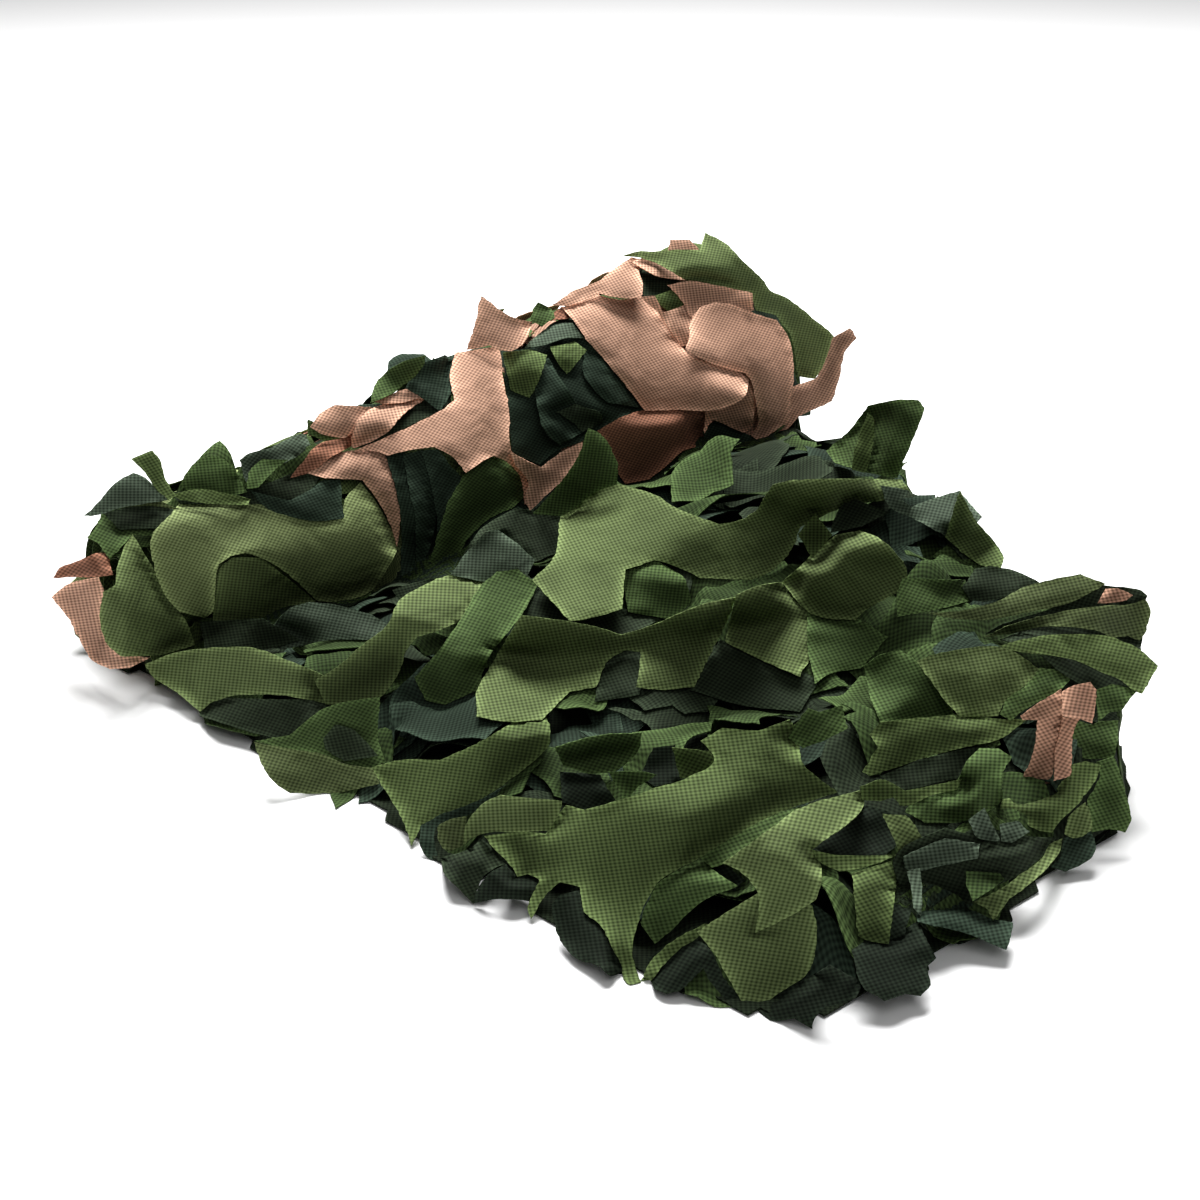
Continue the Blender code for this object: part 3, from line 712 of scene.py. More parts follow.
# Leaves of the tail, from the lowest to the highest: name, colour, crown in mm, and the
# outline, point by point: picture x, picture y, and lift in mm
# The DARK leaves foot hollow, arch hollow, slit, lens, opening, neck, ring opening and low hollow are
# painted shade, in the openings and gaps between the others
TAIL_LEAVES = {
    "foot checker": (GREY, 2, (255,642,1, 268,632,3, 290,608,8, 310,602,9, 335,605,8, 372,615,5, 388,625,3,
        370,640,1, 330,640,1, 290,648,0, 262,648,0)),
    "foot hollow": (DARK, 0, (200,622,0, 262,618,0, 300,640,-2, 262,650,-2, 205,650,-2)),
    "arch hollow": (DARK, 0, (392,590,-1, 425,580,0, 452,577,0, 480,530,0, 515,508,0, 560,515,-1,
        560,552,-2, 535,562,-2, 515,545,-2, 495,530,-2, 462,560,-2, 450,580,-2, 400,600,-2)),
    "slit": (DARK, 0, (195,698,0, 330,700,0, 345,722,0, 290,742,0, 250,732,0, 200,716,0)),
    "lens": (DARK, 0, (587,622,0, 620,608,1, 665,617,1, 622,640,0)),
    "opening": (DARK, 0, (720,640,1, 765,655,1, 820,680,0, 800,712,-1, 740,705,-1, 690,690,0)),
    "neck": (DARK, 0, (600,655,0, 625,645,1, 645,650,1, 640,695,-1, 595,702,-1)),
    "ribbon left": (SAGE, 1, (145,664,0, 178,652,2, 225,647,4, 255,648,5, 290,661,5, 317,672,4, 350,690,2,
        330,704,2, 285,696,1, 240,695,0, 215,701,0, 200,712,-1, 172,689,-1, 155,679,-1)),
    "ribbon right": (SAGE, 2, (315,680,2, 337,667,5, 360,647,6, 387,625,7, 400,600,8, 427,584,9, 452,575,10,
        485,575,11, 480,590,9, 465,617,8, 440,630,7, 417,637,6, 407,650,6, 400,670,5, 390,687,4, 380,697,3,
        350,706,2, 325,704,2)),
    "ring": (MID, 1, (254,741,2, 290,735,2, 318,712,3, 340,703,3, 380,697,4, 378,737,2, 386,762,1,
        372,768,1, 345,763,1, 320,754,1, 290,749,1)),
    "ring opening": (DARK, 0, (324,738,2, 337,724,2, 355,731,2, 379,756,1, 345,761,1, 325,749,1)),
    "olive flap": (OLIVE, 1, (254,742,3, 290,749,3, 322,754,2, 345,764,1, 374,768,1, 380,784,0, 330,794,-1,
        290,793,-2, 272,780,-1, 260,760,1)),
    "left edge": (GREEN, 2, (372,767,2, 400,760,3, 440,760,4, 480,742,6, 540,706,8, 550,728,6, 545,750,5,
        480,800,1, 440,817,0, 422,824,-1, 412,846,-3, 400,815,-2, 380,782,0)),
    "slit left": (BLUE, 1, (421,826,2, 440,815,3, 480,800,3, 505,785,5, 490,801,2, 467,816,1, 440,823,0,
        434,834,0, 440,866,-2, 430,861,-2, 420,846,0)),
    "oval": (OLIVE, 2, (438,826,2, 450,819,4, 467,816,5, 465,830,4, 462,846,1, 452,851,0, 443,848,0,
        438,839,1)),
    "inner": (MID, 1, (622,572,3, 655,560,4, 685,578,4, 690,602,2, 674,620,1, 628,612,1)),
    "grey flap": (GREY, 2, (450,575,4, 465,555,6, 485,532,9, 497,529,10, 515,542,9, 535,560,7, 527,577,5,
        490,582,4)),
    "crest": (DARK, 1, (515,566,11, 545,590,9, 572,620,5, 545,626,5, 515,616,7)),
    "s ribbon": (MID, 2, (415,677,1, 435,655,3, 462,617,7, 480,587,10, 497,572,12, 518,569,13, 538,585,11,
        522,615,8, 510,630,6, 490,655,4, 477,690,2, 445,705,0, 425,700,0)),
    "band": (SAGE, 2, (562,514,6, 580,502,8, 595,489,10, 610,482,11, 655,495,10, 680,510,9, 720,524,8,
        740,520,9, 755,511,9, 765,497,10, 772,485,12, 795,480,13, 865,479,13, 902,480,12, 910,491,11,
        902,499,10, 850,505,8, 800,527,5, 790,552,4, 770,572,3, 750,580,3, 700,578,3, 677,567,4, 655,560,5,
        625,570,5, 622,609,3, 600,616,2, 570,622,1, 532,580,3, 555,555,4)),
    "spike": (MID, 2, (532,514,3, 550,495,8, 575,462,20, 588,428,32, 602,435,30, 617,462,20, 617,484,14,
        595,492,10, 580,504,7, 562,516,5)),
    "hourglass": (SAGE, 3, (521,615,8, 565,621,8, 597,627,6, 622,635,5, 652,625,6, 700,605,8, 735,597,9,
        727,620,7, 710,655,4, 694,687,2, 660,690,1, 637,687,1, 641,652,3, 625,650,3, 607,662,3, 597,687,2,
        570,692,2, 542,720,1, 510,722,0, 477,717,0, 477,692,2, 497,655,5, 512,630,7)),
    "left wing": (SAGE, 2, (736,595,9, 760,585,9, 782,582,8, 807,610,4, 812,650,1, 800,677,0, 765,662,2,
        725,642,5)),
    "fan low": (MID, 1, (855,618,3, 888,637,2, 862,668,0, 830,674,0, 815,684,0, 808,650,1, 807,610,3)),
    "dome": (SAGE, 3, (782,582,6, 800,567,10, 820,547,14, 840,534,17, 860,531,18, 877,537,17, 895,552,14,
        907,572,10, 900,590,7, 865,610,4, 855,620,3, 825,618,3, 807,611,4)),
    "small spike": (GREEN, 1, (798,534,5, 815,513,11, 832,535,8, 812,558,4)),
    "dark flap": (DARK, 1, (830,533,9, 840,507,13, 855,499,13, 889,512,12, 862,526,11)),
    "weave band": (MID, 1, (903,578,9, 965,580,7, 975,600,5, 940,609,5, 898,617,4, 897,592,7)),
    "checker": (MID, 2, (864,666,5, 880,655,7, 900,650,9, 918,662,8, 940,690,6, 957,718,4, 920,721,3,
        880,722,2, 871,700,3)),
    "low hollow": (DARK, 0, (880,776,-1, 930,757,-1, 985,745,-1, 1000,750,-1, 975,765,-1, 960,778,-1,
        940,782,-1, 905,792,-1, 893,785,-1)),
    "dark right": (MID, 3, (905,812,2, 912,800,3, 940,794,4, 957,780,5, 966,762,7, 980,748,8, 998,749,7,
        1012,757,5, 1002,775,4, 1001,800,2, 985,813,1, 960,822,0, 925,823,0)),
    "low band": (GREEN, 2, (862,772,-1, 878,747,2, 869,735,3, 880,722,4, 930,717,6, 960,715,7, 1000,719,6,
        1027,719,4, 1010,733,3, 995,741,2, 970,746,2, 930,756,2, 900,766,0, 870,776,-1)),
    "big leaf": (SAGE, 3, (916,661,7, 940,653,8, 990,646,10, 1010,650,10, 1030,662,8, 1040,670,7,
        1026,685,6, 1006,700,5, 998,716,4, 960,717,4, 944,700,5, 930,680,6)),
    "shaded leaf": (MID, 2, (1000,714,3, 1006,700,4, 1026,685,5, 1040,668,7, 1060,670,5, 1071,679,3,
        1060,690,3, 1040,701,3, 1020,713,2, 1011,721,2)),
    "front checker": (MID, 1, (555,747,3, 600,735,4, 642,733,5, 637,753,4, 615,772,3, 590,774,3,
        563,766,3)),
    "round tip": (GREEN, 1, (672,747,5, 710,751,5, 716,760,4, 705,774,3, 680,779,3)),
    "small star": (MID, 1, (608,772,3, 640,771,4, 657,775,3, 636,789,2, 625,804,2, 618,788,2)),
    "under star": (MID, 2, (641,922,2, 650,897,4, 662,880,5, 702,858,5, 716,872,5, 738,886,4, 710,897,3,
        690,911,2, 676,926,1, 655,944,0, 646,932,1)),
    "rib": (GREEN, 1, (641,987,-1, 648,965,1, 664,948,3, 682,935,4, 705,924,4, 720,925,3, 700,937,2,
        681,948,1, 662,967,0, 651,981,-1)),
    "star": (GREEN, 3, (484,836,2, 520,832,5, 546,834,6, 556,818,7, 566,805,8, 585,810,7, 620,800,8,
        655,788,9, 680,781,10, 690,776,10, 708,768,10, 715,758,11, 708,748,12, 700,741,12, 722,728,13,
        758,731,13, 790,719,13, 797,732,12, 799,746,11, 804,765,10, 822,781,9, 838,792,8, 815,800,7,
        776,814,6, 740,834,5, 702,857,5, 680,868,5, 660,880,5, 650,895,5, 642,910,5, 636,930,4, 632,950,3,
        636,968,1, 641,985,0, 630,991,-1, 624,983,0, 621,965,2, 611,945,3, 600,925,3, 585,912,2, 580,887,4,
        560,882,3, 546,895,0, 531,920,-3, 528,905,-1, 540,880,2, 528,874,2, 518,877,1, 508,862,2,
        495,850,2)),
    "star curl": (SAGE, 2, (463,846,3, 465,828,6, 472,815,8, 485,802,10, 500,795,11, 530,798,11, 562,801,10,
        560,811,8, 550,830,6, 520,832,6, 490,832,5, 470,839,4)),
    "pointed": (SAGE, 2, (760,892,4, 812,905,4, 817,930,3, 808,972,1, 778,994,0, 749,1015,-2, 735,990,-1,
        715,955,1, 697,932,2, 722,915,3)),
    "fold bit": (MID, 1, (788,738,8, 797,722,10, 808,708,12, 820,712,11, 843,705,11, 845,720,9, 848,728,8,
        825,740,7, 803,748,7)),
    "star strip": (MID, 1, (700,858,4, 740,833,5, 776,814,6, 802,806,6, 770,830,5, 745,848,4, 724,864,4,
        712,868,3)),
    "light leaf": (SAGE, 2, (722,863,5, 745,847,6, 770,829,7, 800,808,8, 838,796,8, 862,790,8, 863,808,7,
        845,826,6, 820,843,5, 811,850,5, 822,870,5, 816,900,4, 790,916,3, 755,933,3, 758,895,4, 742,873,5)),
    "front triangle": (SAGE, 2, (882,814,6, 905,815,7, 915,825,6, 921,836,5, 930,848,4, 900,858,4,
        894,840,5)),
    "front leaf": (GREEN, 2, (852,874,5, 870,868,5, 891,861,5, 896,880,4, 893,910,2, 889,944,0, 870,941,0,
        858,936,1)),
    "crescent": (GREEN, 1, (812,850,6, 840,855,6, 897,855,5, 870,866,4, 840,872,4, 818,861,5)),
    "lip": (GREEN, 1, (860,787,4, 880,779,6, 891,782,6, 905,791,5, 962,779,5, 956,790,4, 930,796,3,
        911,805,2, 900,806,2, 893,797,3, 880,801,2, 861,800,3)),
}

# Leaves that lie on the floor in front and at the left edge, with their height over it in mm. Their black
# and dark colours are painted shade, under the net's overhanging front
FLOOR_LEAVES = {
    "floor front": (SHADE_BLACK, 1, (735,990,9, 790,985,12, 830,965,12, 862,982,7, 857,997,4, 842,1003,3,
        826,1006,5, 815,1018,2, 812,1029,1, 795,1019,3, 770,1022,2, 750,1013,3)),
    "floor checker": (SHADE_BLACK, 1, (852,950,12, 880,930,15, 905,928,14, 918,922,14, 926,938,11, 936,958,7,
        926,968,6, 930,985,3, 920,996,2, 905,994,3, 885,1001,2, 862,986,5)),
    "floor strip": (BLUE, 1, (914,895,16, 940,904,12, 970,910,9, 990,918,6, 1013,923,4, 1011,936,3,
        1006,950,1, 985,941,4, 971,935,5, 950,929,7, 935,926,9, 918,922,11)),
    "dark leaf": (DARK, 1, (440,858,10, 462,852,12, 482,840,15, 497,850,13, 512,862,11, 500,866,9,
        485,875,6, 477,890,3, 474,906,1, 465,895,2, 452,882,4, 443,872,6)),
    "dark leaf two": (SHADE_BLACK, 1, (474,903,1, 478,888,5, 490,873,9, 512,862,12, 522,876,9, 545,876,10,
        540,893,5, 528,901,2, 500,899,1)),
    "under front": (SHADE_BLACK, 1, (552,906,8, 560,895,11, 582,890,13, 584,910,10, 595,912,10, 606,925,8,
        618,945,6, 626,965,5, 625,974,3, 610,976,1, 597,965,2, 585,962,1, 574,957,1, 566,948,1, 560,940,2,
        555,924,4)),
    "under middle": (SHADE_BLACK, 1, (648,958,9, 670,945,12, 692,938,14, 706,945,13, 716,960,11, 724,978,8,
        742,1000,4, 740,1009,2, 725,998,3, 712,984,5, 703,968,7, 692,980,3, 680,991,1, 667,994,1, 655,989,2,
        645,981,4)),
}

# Leaves along the tail's right-hand edge, with their height over the floor in mm
# The DARK ones, back dark, edge gap, lower dark, tongue gap and rim dark, are painted shade in the gaps and
# under the edge; the darker brown strips are painted shade too
EDGE_LEAVES = {
    "curl": (GREY, 2, (880,485,54, 910,491,53, 902,500,51, 912,507,50, 935,498,52, 959,491,52, 982,517,47,
        962,539,44, 945,535,45, 912,518,48, 890,507,51)),
    "slope": (GREEN, 1, (960,490,51, 976,520,46, 1003,555,42, 1000,572,40, 975,562,42, 945,537,46)),
    "fan": (MID, 2, (826,451,52, 850,430,60, 868,406,70, 895,400,77, 918,400,81, 925,408,79, 915,435,68,
        905,458,60, 897,478,52, 880,475,53, 850,468,53, 835,463,52)),
    "fan rib": (GREEN, 1, (852,470,53, 856,445,62, 868,412,72, 874,420,70, 872,450,61, 866,473,53)),
    "back dark": (DARK, 1, (962,588,40, 975,569,42, 990,566,43, 1012,570,43, 1036,580,42, 1040,584,40,
        1005,597,40, 985,602,40, 970,600,40)),
    "edge gap": (DARK, 0, (1040,655,41, 1085,658,39, 1120,668,36, 1141,688,33, 1125,702,31, 1110,705,31,
        1095,690,34, 1080,684,36, 1060,672,38)),
    "right low": (MID, 1, (1096,690,34, 1112,684,36, 1137,690,35, 1121,711,31, 1110,712,30, 1098,722,28)),
    "edge upper": (MID, 2, (1076,720,29, 1092,725,28, 1100,721,29, 1118,720,29, 1118,735,26, 1114,758,21,
        1090,759,21, 1074,757,21, 1071,740,25)),
    "edge right": (MID, 2, (1096,762,20, 1114,756,21, 1121,776,17, 1127,799,13, 1131,821,8, 1125,832,6,
        1110,829,7, 1092,832,6, 1090,815,10, 1087,800,13, 1095,788,16, 1100,775,18)),
    "lower dark": (DARK, 2, (893,862,20, 905,846,22, 925,836,23, 945,828,24, 965,833,23, 985,822,22,
        1005,833,18, 1030,836,14, 1055,838,10, 1045,853,7, 1020,874,7, 985,892,7, 975,901,7, 960,906,8,
        920,906,12, 903,890,14)),
    "edge blue": (BLUE, 1, (1064,838,9, 1091,831,8, 1096,849,5, 1088,861,3, 1065,872,2, 1051,867,3,
        1060,857,5)),
    "edge small": (SAGE, 1, (1064,834,9, 1070,815,12, 1085,802,15, 1091,815,11, 1092,830,7, 1081,837,7,
        1072,838,7)),
    "edge leaf": (GREEN, 2, (1000,811,17, 1002,800,19, 1020,796,19, 1045,790,19, 1065,780,20, 1072,765,23,
        1085,761,22, 1101,765,20, 1095,781,17, 1076,806,13, 1060,821,11, 1052,833,9, 1035,829,11,
        1018,819,14)),
    "edge curl": (SAGE, 1, (1062,838,10, 1060,851,8, 1045,870,7, 1025,888,6, 1010,899,5, 999,913,4,
        993,921,3, 988,909,5, 974,902,8, 1000,889,9, 1020,875,10, 1040,860,10, 1050,845,11)),
    "tongue gap": (DARK, 0, (1000,640,43, 1040,622,45, 1090,623,43, 1128,628,42, 1143,634,41, 1140,654,40,
        1090,648,42, 1040,648,43)),
    "rim dark": (DARK, 0, (1000,625,45, 1050,609,48, 1085,595,50, 1104,585,51, 1130,588,51, 1142,591,50,
        1147,596,49, 1143,604,48, 1120,609,47, 1060,622,46, 1000,632,44, 985,634,44)),
    "right brown": (SHADED_BROWN, 1, (1106,589,51, 1118,588,51, 1133,595,51, 1126,600,49, 1112,603,49,
        1097,603,49)),
    "right olive": (OLIVE, 2, (928,613,46, 965,610,47, 1000,600,49, 1020,589,51, 1050,580,53, 1080,574,54,
        1106,584,52, 1090,593,51, 1070,603,49, 1040,610,48, 1000,618,46, 980,620,46, 950,618,46)),
    "right second": (OLIVE, 1, (984,637,44, 1010,625,46, 1060,612,48, 1100,606,49, 1130,604,49, 1145,599,49,
        1150,606,48, 1149,620,46, 1145,633,43, 1139,641,42, 1128,636,43, 1112,638,43, 1098,631,44,
        1070,627,46, 1040,627,46, 1010,634,45)),
    "tongue": (GREEN, 2, (998,646,44, 1020,640,46, 1050,635,47, 1100,635,47, 1120,640,46, 1140,650,43,
        1158,666,39, 1149,682,36, 1142,694,34, 1130,688,36, 1120,680,37, 1100,672,40, 1080,662,42,
        1050,655,44, 1020,652,44)),
    "brown low": (SHADED_BROWN, 1, (1012,792,16, 1045,781,19, 1059,779,20, 1051,790,17, 1030,796,15)),
    "brown strip": (SHADED_BROWN, 1, (1020,716,37, 1040,702,39, 1061,689,40, 1062,720,33, 1056,750,27, 1052,776,21,
        1045,781,20, 1020,786,18, 1012,791,17, 1028,767,23, 1035,745,28, 1037,720,34, 1022,720,36)),
    "brown end two": (SHADED_BROWN, 1, (1062,717,34, 1080,718,33, 1073,733,30, 1072,760,24, 1070,776,20,
        1054,781,20, 1055,750,27, 1060,730,31)),
    "brown end": (SHADED_BROWN, 1, (1062,692,41, 1075,685,42, 1090,682,42, 1096,690,39, 1093,723,32, 1075,718,34,
        1062,716,36)),
}

# Small pieces that show between the leaves at the front, with their height over the floor
FRONT_BITS = {
    "dotted band": (GREY, 1, (903,857,21, 925,846,22, 945,838,23, 980,844,20, 978,858,16, 940,866,14,
        915,872,15, 905,868,17)),
    "dotted bit": (GREY, 1, (968,820,24, 984,808,25, 992,824,22, 1000,841,18, 984,840,20, 975,836,22)),
    "dotted bit two": (GREY, 1, (1000,824,20, 1018,821,19, 1029,832,16, 1012,843,15, 1001,841,17)),
    "shade bit": (SHADE, 1, (966,871,12, 1000,873,10, 1004,880,9, 986,893,8, 972,901,7, 967,886,10)),
    "thin strip": (GREY, 0, (907,871,16, 920,868,15, 922,890,12, 921,916,10, 914,908,11, 911,888,14)),
}

# Black sheets in the hollows below the leaves of the tail: painted shade
SHADED_HOLLOWS = {
    "front hollow": (SHADE_BLACK, 0, (815,848,0, 845,820,0, 865,805,1, 890,812,1, 897,845,0, 880,860,0,
        840,862,0)),
    "right hollow": (SHADE_BLACK, 0, (893,860,0, 906,860,0, 912,900,-1, 905,935,-2, 889,940,-2, 893,900,-1)),
    "star hollow": (SHADE_BLACK, 0, (653,748,0, 675,745,0, 682,780,0, 655,787,0, 640,777,0)),
    "left hollow": (SHADE_BLACK, 0, (560,772,0, 600,775,0, 615,800,0, 590,812,0, 562,802,0)),
    "strip hollow": (SHADE_BLACK, 0, (700,860,0, 722,864,0, 745,880,0, 735,890,0, 712,878,0)),
}

